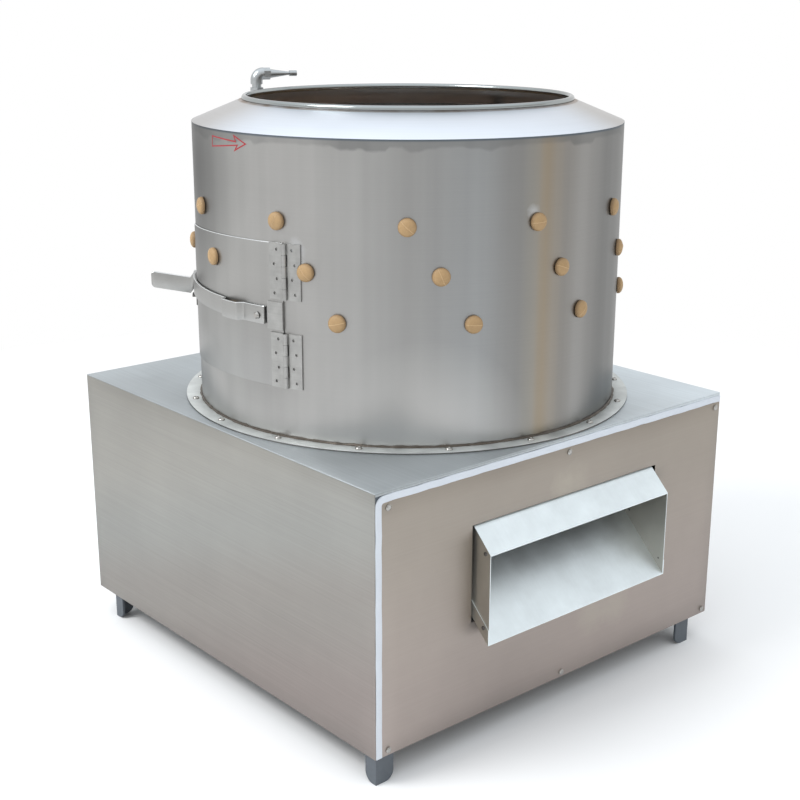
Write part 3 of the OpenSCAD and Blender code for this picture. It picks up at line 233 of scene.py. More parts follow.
def spread(tree, value, low, high, first=0.0, last=1.0):
    node = tree.nodes.new("ShaderNodeMapRange")
    for name, number in (("From Min", low), ("From Max", high), ("To Min", first), ("To Max", last)):
        node.inputs[name].default_value = number
    tree.links.new(value, node.inputs["Value"])
    return node.outputs[0]


def reckon(tree, operation, first, second):
    step = tree.nodes.new("ShaderNodeMath")
    step.operation = operation
    feed(tree, step.inputs[0], first)
    feed(tree, step.inputs[1], second)
    return step.outputs[0]


def part(tree, vector, index):
    split = tree.nodes.new("ShaderNodeSeparateXYZ")
    tree.links.new(vector, split.inputs[0])
    return split.outputs[index]


def vectorStep(tree, operation, vector, other):
    step = tree.nodes.new("ShaderNodeVectorMath")
    step.operation = operation
    step.inputs[1].default_value = other
    tree.links.new(vector, step.inputs[0])
    return step.outputs["Value"]


def distance(tree, vector, place):
    return vectorStep(tree, "DISTANCE", vector, place)


def along(tree, vector, direction):
    return vectorStep(tree, "DOT_PRODUCT", vector, direction)


def mixed(tree, first, second, factor, kind="MIX"):
    mix = tree.nodes.new("ShaderNodeMix")
    mix.data_type = "RGBA"
    mix.blend_type = kind
    for index, value in ((0, factor), (6, first), (7, second)):
        feed(tree, mix.inputs[index], value)
    return mix.outputs[2]


def varied(tree, base, layers):
    # the base colour, lighter and darker by the patterns
    value = 1 - sum(weight for pattern, weight in layers) / 2
    for pattern, weight in layers:
        value = reckon(tree, "ADD", reckon(tree, "MULTIPLY", pattern, weight), value)
    return mixed(tree, base, value, 1.0, "MULTIPLY")


def ramp(tree, value, stops):
    node = tree.nodes.new("ShaderNodeValToRGB")
    elements = node.color_ramp.elements
    elements.remove(elements[1])
    elements[0].position = stops[0][0]
    elements[0].color = (*stops[0][1], 1)
    for place, colour in stops[1:]:
        elements.new(place).color = (*colour, 1)
    node.color_ramp.interpolation = "EASE"
    tree.links.new(value, node.inputs[0])
    return node.outputs[0]


def spot(tree, place, radius):
    # ragged patch round a place given in millimetres
    reach = distance(tree, coords(tree), [c / 1000 for c in place])
    ragged = reckon(tree, "MULTIPLY", grain(tree, (70, 70, 70), detail=4), radius / 1000)
    return spread(tree, reckon(tree, "ADD", reach, ragged), radius * 0.0016, radius * 0.0008)


def bumpBy(tree, shader, pattern, strength, depth):
    bump = tree.nodes.new("ShaderNodeBump")
    bump.inputs["Strength"].default_value = strength
    bump.inputs["Distance"].default_value = depth
    tree.links.new(pattern, bump.inputs["Height"])
    tree.links.new(bump.outputs["Normal"], shader.inputs["Normal"])


def roughBy(tree, shader, pattern, roughness, swing):
    rough = spread(tree, pattern, 0, 1, roughness - swing, roughness + swing)
    tree.links.new(rough, shader.inputs["Roughness"])


def steelFinish(name, colour, roughness, lines=(4, 4, 700), lineWeight=0.22, cloud=(5, 5, 5),
                cloudWeight=0.35, edge=0.8, tone=None, marks=None):
    material, tree, shader = newFinish(name, 1.0, roughness)
    shader.inputs["Specular Tint"].default_value = (edge, edge, edge, 1)
    brushed = grain(tree, lines)
    clouds = grain(tree, cloud, detail=4)
    base = varied(tree, tone(tree) if tone else colour, [(brushed, lineWeight), (clouds, cloudWeight)])
    for mask, stain in marks(tree) if marks else ():
        base = mixed(tree, base, stain, mask)
    tree.links.new(base, shader.inputs["Base Color"])
    roughBy(tree, shader, clouds, roughness, 0.08)
    bumpBy(tree, shader, brushed, 0.04, 0.0003)
    return material


def paintFinish(name, colour, roughness):
    material, tree, shader = newFinish(name, 0.0, roughness)
    speckle = grain(tree, (180, 180, 180), detail=2)
    dirt = grain(tree, (14, 14, 14), detail=5)
    tree.links.new(varied(tree, colour, [(speckle, 0.3), (dirt, 0.6)]), shader.inputs["Base Color"])
    roughBy(tree, shader, dirt, roughness, 0.1)
    bumpBy(tree, shader, speckle, 0.08, 0.0006)
    return material


def rubberFinish(name, colour, roughness, swing=0.4, tone=None):
    material, tree, shader = newFinish(name, 0.0, roughness)
    fine = grain(tree, (420, 420, 420), detail=2)
    patchy = grain(tree, (45, 45, 45), detail=3)
    base = varied(tree, tone(tree) if tone else colour, [(fine, swing / 2), (patchy, swing)])
    tree.links.new(base, shader.inputs["Base Color"])
    roughBy(tree, shader, patchy, roughness, 0.08)
    bumpBy(tree, shader, fine, 0.1, 0.0005)
    return material


def castFinish(name, colour, roughness):
    material, tree, shader = newFinish(name, 0.6, roughness)
    pits = grain(tree, (160, 160, 160), detail=5)
    tree.links.new(varied(tree, colour, [(pits, 1.0)]), shader.inputs["Base Color"])
    bumpBy(tree, shader, pits, 0.35, 0.0015)
    return material


# Drum steel: soft bands of painted reflection round the wall, heat tint under the top seam, sanded
# patches by the hinge, painted shade and painted highlights in spots on the wall, and painted light on
# the inner face.
# Bands are by degrees round the drum; patches and the painted light and shade spots start with degrees
# and height in millimetres.
drumLook = {"bands": ((0, (0.27, 0.27, 0.26)), (60, (0.33, 0.33, 0.325)), (120, (0.29, 0.29, 0.285)),
                      (165, (0.39, 0.39, 0.38)), (200, (0.435, 0.43, 0.42)), (228, (0.36, 0.36, 0.355)),
                      (246, (0.335, 0.345, 0.35)), (256, (0.295, 0.295, 0.29)),
                      (260.5, (0.31, 0.30, 0.275)), (264, (0.335, 0.285, 0.22)),
                      (267.5, (0.31, 0.285, 0.25)), (271, (0.275, 0.265, 0.25)),
                      (277, (0.335, 0.33, 0.32)), (290, (0.23, 0.23, 0.225)),
                      (330, (0.30, 0.30, 0.29)), (360, (0.27, 0.27, 0.26))),
            "radius": 325, "broad": 0.45, "narrow": 0.2,
            "tint": (0.16, 0.165, 0.165), "tintBand": (0.832, 0.836),
            "seam": (0.10, 0.13, 0.16), "seamBand": (0.8375, 0.8395), "seamWeight": 0.8,
            "inside": (0.86, 0.76, 0.70), "insideLightBand": (0.3246, 0.3240), "insideLightWeight": 0.95,
            "sanded": (0.62, 0.64, 0.66), "sandedWeight": 0.55,
            "patches": ((201.5, 690.0, 17.0), (202.5, 672.0, 9.0), (260.4, 741.0, 11.0)),
            "lightAndShadeCore": 0.03,
            "paintedLightAndShade": ((234.0, 425.0, 0.15, 0.5, (0.68, 0.67, 0.65)),
                       (152.0, 785.0, 0.20, 0.8, (0.05, 0.05, 0.05)),
                       (188.0, 530.0, 0.12, 0.22, (0.05, 0.05, 0.05)),
                       (162.0, 470.0, 0.08, 0.38, (0.80, 0.79, 0.77)))}


def turnRound(tree, stops):
    # colours by degrees round the drum
    around = tree.nodes.new("ShaderNodeTexGradient")
    around.gradient_type = "RADIAL"
    tree.links.new(coords(tree, shift=axisPlace, turn=math.pi), around.inputs["Vector"])
    return ramp(tree, around.outputs["Fac"], [(degrees / 360, colour) for degrees, colour in stops])


def fromAxis(tree):
    return distance(tree, coords(tree, scale=(1, 1, 0)), axisPlace)


def drumToneWithReflections(tree):
    # painted reflection: light and dark bands by degrees round the drum, with random grain over them
    base = turnRound(tree, drumLook["bands"])
    broad = grain(tree, (9, 9, 0.4), detail=2)
    narrow = grain(tree, (34, 34, 0.6), detail=2)
    return varied(tree, base, [(broad, drumLook["broad"]), (narrow, drumLook["narrow"])])


def drumMarks(tree):
    # the tint's lower edge is stepped and ragged
    height = part(tree, coords(tree), 2)
    steps = spread(tree, grain(tree, (22, 22, 0.5), detail=1), 0.45, 0.55, 0.0, 0.006)
    ragged = reckon(tree, "MULTIPLY", grain(tree, (50, 50, 120), detail=4, rough=0.7), 0.005)
    ragged = reckon(tree, "ADD", reckon(tree, "ADD", height, steps), ragged)
    patchy = spread(tree, grain(tree, (8, 8, 2), detail=3), 0.35, 0.65, 0.2, 0.6)
    heat = reckon(tree, "MULTIPLY", spread(tree, ragged, *drumLook["tintBand"]), patchy)
    seam = spread(tree, height, *drumLook["seamBand"], 0.0, drumLook["seamWeight"])
    marks = [(heat, drumLook["tint"]), (seam, drumLook["seam"])]
    for degrees, z, radius in drumLook["patches"]:
        mask = spot(tree, polar(axis, drumLook["radius"], degrees, z), radius)
        marks.append((reckon(tree, "MULTIPLY", mask, drumLook["sandedWeight"]), drumLook["sanded"]))
    # painted shade and painted highlights: dark and pale spots on the wall round given places
    for degrees, z, reach, weight, colour in drumLook["paintedLightAndShade"]:
        place = [c / 1000 for c in polar(axis, drumLook["radius"], degrees, z)]
        away = distance(tree, coords(tree), place)
        marks.append((spread(tree, away, reach, drumLook["lightAndShadeCore"], 0.0, weight), colour))
    # painted light: the inner face of the wall is painted pale, so its shade reads lighter
    inside = spread(tree, fromAxis(tree), *drumLook["insideLightBand"], 0.0, drumLook["insideLightWeight"])
    marks.append((inside, drumLook["inside"]))
    return marks


# Cone steel: painted reflection makes it paler and bluish towards the front, with a brown line where the
# rim is welded on
coneLook = {"bands": ((0, (0.60, 0.61, 0.62)), (120, (0.58, 0.58, 0.58)), (160, (0.60, 0.59, 0.585)),
                      (188, (0.76, 0.80, 0.86)), (276, (0.76, 0.80, 0.86)), (304, (0.60, 0.585, 0.57)),
                      (360, (0.60, 0.61, 0.62))),
            "weld": (0.26, 0.165, 0.10), "weldBand": (0.2560, 0.2535)}


def coneReflectionTone(tree):
    return turnRound(tree, coneLook["bands"])


def coneMarks(tree):
    line = spread(tree, fromAxis(tree), *coneLook["weldBand"])
    patchy = spread(tree, grain(tree, (30, 30, 30)), 0.3, 0.7, 0.3, 0.9)
    return [(reckon(tree, "MULTIPLY", line, patchy), coneLook["weld"])]


# Finger rubber: painted shade darkens the heads low down at the sheet
fingerLook = {"clean": (0.385, 0.248, 0.118), "paintedShadeLow": (0.20, 0.127, 0.064), "paintedShadeFade": (0.29, 0.184, 0.09),
              "band": (0.320, 0.340)}


def fingerShadedTone(tree):
    clean = fingerLook["clean"]
    return ramp(tree, spread(tree, fromAxis(tree), *fingerLook["band"]),
                [(0.0, clean), (0.24, clean), (0.26, fingerLook["paintedShadeLow"]),
                 (0.42, fingerLook["paintedShadeFade"]), (0.62, clean)])


# Cabinet steel: the side is warmer low down and towards the front, the front has rubbed patches round
# the chute, and the deck has painted reflection, darker on the door's side and paler further off
cabinetLook = {"sideSlope": (0, 0.8, 2.6),
               "side": ((0.0, (0.32, 0.282, 0.266)), (0.4, (0.32, 0.302, 0.283)),
                        (0.68, (0.348, 0.347, 0.33)), (1.0, (0.375, 0.366, 0.341))),
               "frontSpan": (0.04, 0.42),
               "front": ((0.0, (0.405, 0.352, 0.325)), (1.0, (0.38, 0.342, 0.30))),
               "rub": (0.48, 0.44, 0.38), "rubWeight": 0.4,
               "rubbed": (((20, -371, 345), 34), ((-8, -371, 348), 26), ((70, -371, 126), 36),
                          ((122, -371, 124), 34)),
               "deckReflectionSpan": (-0.355, 0.355),
               "deck": ((0.0, (0.47, 0.50, 0.515)), (1.0, (0.69, 0.74, 0.77)))}


def sideTone(tree):
    return ramp(tree, along(tree, coords(tree), cabinetLook["sideSlope"]), cabinetLook["side"])


def frontTone(tree):
    height = part(tree, coords(tree), 2)
    return ramp(tree, spread(tree, height, *cabinetLook["frontSpan"]), cabinetLook["front"])


def frontMarks(tree):
    marks = []
    for place, radius in cabinetLook["rubbed"]:
        mask = reckon(tree, "MULTIPLY", spot(tree, place, radius), cabinetLook["rubWeight"])
        marks.append((mask, cabinetLook["rub"]))
    return marks


# painted reflection: the deck is darker on the door's side and paler further off
def deckReflectionTone(tree):
    sideways = part(tree, coords(tree), 0)
    return ramp(tree, spread(tree, sideways, *cabinetLook["deckReflectionSpan"]), cabinetLook["deck"])


# Chute steel, painted light and shade by which way a face looks: faces that look up are painted pale,
# faces that look sideways are painted darker as in shade, and faces that look down are painted near
# black as shade
chutePaintedLight = {"top": (0.80, 0.86, 0.88), "sides": (0.47, 0.45, 0.40), "under": (0.13, 0.135, 0.14)}


def chuteLitAndShadedTone(tree):
    facing = tree.nodes.new("ShaderNodeNewGeometry").outputs["True Normal"]
    sideways = reckon(tree, "ABSOLUTE", part(tree, facing, 0), 0)
    base = mixed(tree, chutePaintedLight["top"], chutePaintedLight["sides"], spread(tree, sideways, 0.5, 0.8))
    return mixed(tree, base, chutePaintedLight["under"], spread(tree, part(tree, facing, 2), -0.2, -0.5))


finishes = {
    "leg_paint": paintFinish("leg paint", (0.09, 0.105, 0.122), 0.5),
    "frame_paint": paintFinish("frame paint", (0.09, 0.105, 0.122), 0.5),
    "deck_sheet": steelFinish("deck steel", None, 0.58, lines=(500, 4, 4), tone=deckReflectionTone),
    "cabinet_sheet": steelFinish("cabinet steel", None, 0.46, tone=sideTone),
    "pan_sheet": steelFinish("pan steel", (0.55, 0.49, 0.45), 0.45),
    "chute_sheet": steelFinish("chute steel", None, 0.45, lines=(300, 6, 6), lineWeight=0.05,
                               cloud=(22, 22, 22), tone=chuteLitAndShadedTone),
    "drum_sheet": steelFinish("drum steel", None, 0.36, lineWeight=0.06, edge=0.72, cloudWeight=0.15,
                              tone=drumToneWithReflections, marks=drumMarks),
    "cone_sheet": steelFinish("cone steel", None, 0.38, lineWeight=0.06, cloudWeight=0.12,
                              tone=coneReflectionTone, marks=coneMarks),
    "flange_steel": steelFinish("flange steel", (0.64, 0.66, 0.65), 0.6, cloud=(30, 30, 30),
                                cloudWeight=0.6),
    "rim_steel": steelFinish("rim steel", (0.37, 0.395, 0.395), 0.16, lineWeight=0.1),
    "hinge_steel": steelFinish("hinge steel", (0.41, 0.41, 0.40), 0.36, cloud=(60, 60, 60),
                               cloudWeight=0.55),
    "latch_steel": steelFinish("strap steel", (0.41, 0.41, 0.40), 0.36, lineWeight=0.08,
                               cloud=(25, 25, 25), cloudWeight=0.3),
    "fastener_steel": steelFinish("screw steel", (0.42, 0.41, 0.39), 0.27, lines=(60, 60, 60)),
    "water_metal": steelFinish("fitting metal", (0.46, 0.48, 0.49), 0.28, lines=(80, 80, 80)),
    "shaft_steel": steelFinish("shaft steel", (0.40, 0.40, 0.40), 0.25, lines=(8, 8, 500)),
    "plate_steel": steelFinish("plate steel", (0.44, 0.44, 0.43), 0.36, lines=(40, 40, 40)),
    "cast_parts": castFinish("cast iron", (0.10, 0.10, 0.105), 0.6),
    "motor_paint": paintFinish("motor paint", (0.05, 0.08, 0.12), 0.45),
    "finger_rubber": rubberFinish("finger rubber", None, 0.6, tone=fingerShadedTone),
    "belt_rubber": rubberFinish("belt rubber", (0.02, 0.02, 0.02), 0.6),
    "seal_rubber": rubberFinish("seal rubber", (0.65, 0.69, 0.75), 0.6, swing=0.12),
    "box_plastic": rubberFinish("box plastic", (0.46, 0.46, 0.44), 0.5, swing=0.12),
    "start_plastic": rubberFinish("start plastic", (0.02, 0.20, 0.04), 0.3, swing=0.2),
    "stop_plastic": rubberFinish("stop plastic", (0.38, 0.012, 0.01), 0.3, swing=0.2),
    "gland_plastic": rubberFinish("gland plastic", (0.015, 0.015, 0.017), 0.45),
}
frontFinish = steelFinish("front steel", None, 0.46, lineWeight=0.08, tone=frontTone, marks=frontMarks)
# dark steel that paints shade: on the chute rivets, the latch keeper and the flange's outer edge
shadeFinish = steelFinish("painted shade steel", (0.16, 0.155, 0.15), 0.35, lines=(60, 60, 60))
# pale steel that paints the highlight on top edges
highlightFinish = steelFinish("painted highlight edges", (0.84, 0.86, 0.87), 0.3, lines=(60, 60, 60))
weldFinish = castFinish("weld bead", (0.10, 0.085, 0.07), 0.5)
seamFinish = rubberFinish("finger mould line", (0.50, 0.345, 0.185), 0.55)
markFinish = rubberFinish("arrow paint", (0.31, 0.016, 0.024), 0.5, swing=0.3)


# the chute rivets and the latch keeper take the dark finish as painted shade
paintedShadeNodes = ("chute_rivets", "latch_keeper")


def dressNodes():
    slots = {item["node"]: item["material_slot"] for item in frame["record"]["subparts"]}
    for name, node in frame["nodes"].items():
        finish = shadeFinish if name in paintedShadeNodes else finishes[slots[name]]
        if not node.material_slots:
            node.data.materials.append(finish)
        for holder in node.material_slots:
            holder.material = finish


dressNodes()
print("finishes made:", len(bpy.data.materials))


# Drum: a rolled wall with the door's window, the cone, the rim and the base
drum = {"radius": round((drumHigh.x - drumLow.x) / 2, 1), "low": round(drumLow.z, 1),
        "high": round(drumHigh.z, 1), "wall": 1.5, "windowFrom": 152.26, "windowTo": 195.58,
        "windowLow": 505.0, "windowHigh": 688.0, "windowSteps": 16, "wallSteps": 112}


def outwards(point):
    return Vector((point.x - axis.x, point.y - axis.y, 0))


def makeDrumShell():
    bm = bmesh.new()
    start = drum["windowFrom"]
    heights = (drum["low"], drum["windowLow"], drum["windowHigh"], drum["high"])
    verts = [bm.verts.new(polar(axis, drum["radius"], start, z)) for z in heights]
    edges = [bm.edges.new((verts[i], verts[i + 1])) for i in range(3)]
    span = drum["windowTo"] - start
    edges = sweepArc(bm, edges, axis, "Z", span, drum["windowSteps"])
    window = [f for f in bm.faces if drum["windowLow"] < f.calc_center_median().z < drum["windowHigh"]]
    sweepArc(bm, edges, axis, "Z", 360 - span, drum["wallSteps"])
    bmesh.ops.delete(bm, geom=window, context="FACES")
    bmesh.ops.remove_doubles(bm, verts=bm.verts[:], dist=0.01)
    wall(bm, drum["wall"], outwards)
    finishPiece(bm, "drum_wall", finishes["drum_sheet"], "frame_body", ("drum_shell",))


cone = {"rimRadius": 245.5, "rimWire": 9.0, "rimHeight": 873.5, "rimSides": 20, "sheet": 1.5,
        "edge": 0.5, "steps": 160}


def makeCone():
    slope = math.atan2(cone["rimHeight"] - drum["high"], drum["radius"] - cone["rimRadius"])
    reach = cone["rimWire"] / 2
    top = (cone["rimRadius"] + reach * math.cos(slope), cone["rimHeight"] - reach * math.sin(slope))
    skin = cone["sheet"] / math.cos(slope)
    foot = drum["radius"] - cone["sheet"] / math.sin(slope)
    bm = bmesh.new()
    outline = [(drum["radius"], drum["high"]), top, (top[0], top[1] - skin), (foot, drum["high"])]
    lathe(bm, outline, axis, cone["steps"])
    softEdges(bm, cone["edge"], angle=30)
    finishPiece(bm, "drum_top_cone", finishes["cone_sheet"], "frame_body", ("drum_cone",))


def makeRim():
    bm = bmesh.new()
    outline = ring(cone["rimRadius"], cone["rimHeight"], cone["rimWire"] / 2, cone["rimSides"])
    lathe(bm, outline, axis, cone["steps"])
    finishPiece(bm, "drum_rim", finishes["rim_steel"], "frame_body", ("rim_ring",))


base = {"inner": 325.05, "outer": 349.0, "thickness": 3.0, "edge": 0.4, "steps": 160,
        "screws": 17, "firstScrew": 133.0, "screwCircle": 337.0, "headRadius": 5.1, "headHeight": 3.0,
        "screwSides": 20, "screwShape": ((0, 0.45), (0.3, 0.5), (0.42, 0.95), (0.62, 0.9), (0.86, 0.62),
                                         (1, 0.2), (1, 0), (0, 0)),
        "beadRadius": 2.4, "beadOut": 0.6, "beadUp": 0.4, "beadSides": 8, "beadSteps": 420,
        "beadWave": 0.54, "beadRipple": 0.25}


def makeBase():
    low, high = drum["low"], drum["low"] + base["thickness"]
    bm = bmesh.new()
    inner, outer = base["inner"], base["outer"]
    outline = [(inner, low), (outer, low), (outer, high), (inner, high)]
    lathe(bm, outline, axis, base["steps"])
    softEdges(bm, base["edge"])
    # painted shade: the flange's outer edge is painted dark as the shadow line under it
    for face in bm.faces:
        if outwards(face.calc_center_median()).length > outer - 0.1:
            face.material_index = 1
    finishPiece(bm, "drum_base_flange", [finishes["flange_steel"], shadeFinish], "frame_body",
                ("base_flange",))

    # uneven weld between the wall and the flange
    bm = bmesh.new()
    middle, level = drum["radius"] + base["beadOut"], high + base["beadUp"]
    lathe(bm, ring(middle, level, base["beadRadius"], base["beadSides"]), axis, base["beadSteps"])
    for vert in bm.verts:
        core = axis + outwards(vert.co).normalized() * middle + Vector((0, 0, level))
        swell = 1 + base["beadWave"] * noise.noise(vert.co * 0.11)
        swell += base["beadRipple"] * noise.noise(vert.co * 0.5)
        vert.co = core + (vert.co - core) * swell
    finishPiece(bm, "drum_weld_bead", weldFinish, "frame_body")

    # pan-head screws with a recess
    bm = bmesh.new()
    outline = [(base["headRadius"] * r, base["headHeight"] * z) for r, z in base["screwShape"]]
    lathe(bm, outline, Vector((0, 0, 0)), base["screwSides"])
    screw = bpy.data.meshes.new("flange screw")
    bm.to_mesh(screw)
    bm.free()
    bm = bmesh.new()
    spots = [base["firstScrew"] + i * 360 / base["screws"] for i in range(base["screws"])]
    copyInto(bm, screw, [Matrix.Translation(polar(axis, base["screwCircle"], a, high)) for a in spots])
    finishPiece(bm, "drum_base_screws", finishes["fastener_steel"], "frame_body",
                ("flange_screws",))


makeDrumShell()
makeCone()
makeRim()
makeBase()
print("drum made")


# Rubber fingers: a domed head with a mould line, a neck through the sheet and a ringed body
finger = {"head": 25.2, "edge": 3.0, "dome": 6.0, "lip": 0.9, "neck": 19.2, "root": 23.0, "tip": 16.0,
          "length": 93.0, "rings": 11, "ringDepth": 1.1, "ringFrom": 16.0, "ringTo": 80.0, "around": 24,
          "seamWidth": 0.65, "seamRise": 0.5, "seamFall": 0.7, "seamInset": 0.3,
          "columns": 11, "rowAngles": (228.9, 236.9, 244.9), "rowHeights": (727.5, 661.0, 594.5),
          "doorSpots": ((171.45, 661.0), (179.45, 591.4)), "edgeSpot": (145.5, 661.0),
          "keeperFrom": 136.5, "doorFrom": 150.5, "doorTo": 198.4, "seat": 0.05, "grip": 1.86}


def fingerMesh(grip):
    half, neck, root, tip = (finger[name] / 2 for name in ("head", "neck", "root", "tip"))
    dome = [(half * math.sin(a), finger["edge"] + finger["dome"] * math.cos(a))
            for a in (math.radians(15 * i) for i in range(7))]
    outline = dome + [(half, finger["lip"]), (half - finger["lip"], 0), (neck, 0), (neck, -grip),
                      (root, -grip)]
    taper = (tip - root) / finger["length"]
    pitch = (finger["ringTo"] - finger["ringFrom"]) / finger["rings"]
    for i in range(finger["rings"]):
        for share, depth in ((0, 0), (0.2, 1), (0.8, 1), (1, 0)):
            down = finger["ringFrom"] + (i + share * 0.7) * pitch
            outline.append((root + taper * down - depth * finger["ringDepth"], -grip - down))
    end = -grip - finger["length"]
    for angle in (math.radians(18 * i) for i in range(6)):
        outline.append((tip * math.cos(angle), end + tip * (1 - math.sin(angle))))
    bm = bmesh.new()
    lathe(bm, [(0, outline[0][1])] + outline[1:-1] + [(0, end)], Vector((0, 0, 0)), finger["around"])

    # the mould line runs over the dome
    strip = bmesh.ops.create_grid(bm, x_segments=14, y_segments=2, size=1)["verts"]
    for vert in strip:
        x, y = vert.co.x * (half - finger["seamInset"]), vert.co.y * finger["seamWidth"]
        away = min(1.0, math.hypot(x, y) / half)
        rise = finger["seamRise"] - finger["seamFall"] * abs(vert.co.y)
        vert.co = (x, y, finger["edge"] + finger["dome"] * math.sqrt(1 - away * away) + rise)
    for face in {f for v in strip for f in v.link_faces}:
        face.material_index = 1
    mesh = bpy.data.meshes.new("finger")
    bm.to_mesh(mesh)
    bm.free()
    return mesh


def radialPlace(radius, degrees, z, roll):
    turn = Matrix.Rotation(math.radians(degrees), 4, "Z") @ Matrix.Rotation(math.radians(90), 4, "Y")
    place = Matrix.Translation(polar(axis, radius, degrees, z))
    return place @ turn @ Matrix.Rotation(math.radians(roll), 4, "Z")


def finishFingers(bm, name, body, node):
    finishPiece(bm, name, [finishes["finger_rubber"], seamFinish], body, (node,))


def makeFingers():
    mesh = fingerMesh(finger["grip"])
    seat = drum["radius"] + finger["seat"]
    drumSpots = [finger["edgeSpot"]]
    for row, (first, z) in enumerate(zip(finger["rowAngles"], finger["rowHeights"])):
        for column in range(finger["columns"]):
            angle = (first + column * 360 / finger["columns"]) % 360
            onDoor = finger["doorFrom"] < angle < finger["doorTo"] and row > 0
            byKeeper = finger["keeperFrom"] < angle < finger["doorFrom"] and row > 0
            if not onDoor and not byKeeper:
                drumSpots.append((angle, z))
    bm = bmesh.new()
    copyInto(bm, mesh, [radialPlace(seat, a, z, 47 * i % 180) for i, (a, z) in enumerate(drumSpots)])
    finishFingers(bm, "drum_rubber_fingers", "frame_body", "drum_fingers")
    bm = bmesh.new()
    doorSeat = door["outer"] + finger["seat"]
    doorSpots = enumerate(finger["doorSpots"])
    copyInto(bm, mesh, [radialPlace(doorSeat, a, z, 30 + 65 * i) for i, (a, z) in doorSpots])
    finishFingers(bm, "door_rubber_fingers", "door", "door_fingers")
    return len(drumSpots)


# Door sheet over the window, its strap and the handle
door = {"inner": 325.3, "outer": 326.8, "from": 150.5, "to": 197.64, "low": 495.0, "high": 698.0,
        "steps": 24, "edge": 0.25, "topEdge": 1.1, "sag": 7.5}


def makeDoor():
    bm = bmesh.new()
    edge = newEdge(bm, polar(axis, door["outer"], door["from"], door["low"]),
                   polar(axis, door["outer"], door["from"], door["high"]))
    sweepArc(bm, edge, axis, "Z", door["to"] - door["from"], door["steps"])
    wall(bm, door["outer"] - door["inner"], outwards)
    top = {v for v in bm.verts
           if v.co.z > door["high"] - 0.1 and outwards(v.co).length > door["outer"] - 0.2}
    highlightCut(bm, [e for e in bm.edges if e.verts[0] in top and e.verts[1] in top], door["topEdge"])
    softEdges(bm, door["edge"], angle=60)

    # the free end hangs a little, as a thin sheet on two hinges does
    for vert in bm.verts:
        angle = math.degrees(math.atan2(vert.co.y - axis.y, vert.co.x - axis.x)) % 360
        vert.co.z -= door["sag"] * ((door["to"] - angle) / (door["to"] - door["from"])) ** 2
    finishPiece(bm, "door_sheet", [finishes["drum_sheet"], highlightFinish], "door",
                ("door_panel",))


strap = {"inner": 328.4, "thickness": 3.0, "height": 25.5, "middle": 595.3, "end": 192.27,
         "humpFrom": 177.3, "humpTo": 185.1, "humpLean": 0.9, "humpOuter": 340.3, "handle": 140.0,
         "reach": 400.0, "root": 8.0, "corner": 6.0, "tilt": 9.0, "handleDrop": 6.8, "bend": 2.4,
         "topEdge": 0.8, "edge": 0.4}


def makeStrap():
    thickness, hump, lean = strap["thickness"], strap["humpOuter"], strap["humpLean"]
    outer = strap["inner"] + thickness
    low, high = strap["middle"] - strap["height"] / 2, strap["middle"] + strap["height"] / 2
    fold = strap["handle"] + math.degrees(thickness / outer)

    def step(fromRadius, fromAngle, toRadius, toAngle):
        return polar(axis, toRadius, toAngle, 0) - polar(axis, fromRadius, fromAngle, 0)

    # the outer face, from the rivet's end round to the handle's end
    bm = bmesh.new()
    edge = newEdge(bm, polar(axis, outer, strap["end"], low), polar(axis, outer, strap["end"], high))
    edge = sweepArc(bm, edge, axis, "Z", strap["humpTo"] - strap["end"], 8)
    edge = sweepLine(bm, edge, step(outer, strap["humpTo"], hump, strap["humpTo"] - lean))
    edge = sweepArc(bm, edge, axis, "Z", strap["humpFrom"] - strap["humpTo"] + 2 * lean, 10)
    edge = sweepLine(bm, edge, step(hump, strap["humpFrom"] + lean, outer, strap["humpFrom"]))
    edge = sweepArc(bm, edge, axis, "Z", fold - strap["humpFrom"], 16)
    for far in (strap["root"], strap["reach"] - outer - strap["root"]):
        edge = sweepLine(bm, edge, step(0, 0, far, strap["handle"]))
    roundOff(bm, crispEdges(bm, 30), strap["bend"], 4)
    tip = [v for v in bm.verts if outwards(v.co).length > strap["reach"] - 0.5]
    roundOff(bm, tip, strap["corner"], 6, affect="VERTICES")
    wall(bm, thickness, outwards)
    bm.normal_update()
    top = [e for e in bm.edges if any(f.normal.z > 0.9 for f in e.link_faces)
           and any(abs(f.normal.z) < 0.3 for f in e.link_faces)]
    highlightCut(bm, top, strap["topEdge"])
    softEdges(bm, strap["edge"], angle=60)

    # the handle is bent up towards its end
    middle = (outer + strap["reach"]) / 2
    slope = math.tan(math.radians(strap["tilt"]))
    for vert in bm.verts:
        out = outwards(vert.co).length
        start = polar(axis, outer, strap["handle"], vert.co.z)
        if out > outer + 2 and (vert.co - start).length < strap["reach"] - outer + 1:
            bent = slope * (out - middle) - strap["handleDrop"]
            vert.co.z += bent * min(1, (out - outer) / strap["root"])
    finishPiece(bm, "latch_band", [finishes["latch_steel"], highlightFinish], "latch",
                ("latch_strap",))


makeDoor()
print("fingers made:", makeFingers())
makeStrap()
print("door made")


# Turning plate's fingers stand on the plate with their heads under it
plate = {"under": 434.0, "thickness": 6.0, "rings": ((110.0, 6), (190.0, 10), (268.0, 14))}


def makePlateFingers():
    bm = bmesh.new()
    places = []
    for radius, count in plate["rings"]:
        for i in range(count):
            spot = polar(axis, radius, (i + 0.5) * 360 / count, plate["under"] - finger["seat"])
            places.append(Matrix.Translation(spot) @ Matrix.Rotation(math.pi, 4, "X"))
    copyInto(bm, fingerMesh(plate["thickness"] + 2 * finger["seat"]), places)
    finishFingers(bm, "plate_rubber_fingers", "rotor", "plate_fingers")


makePlateFingers()


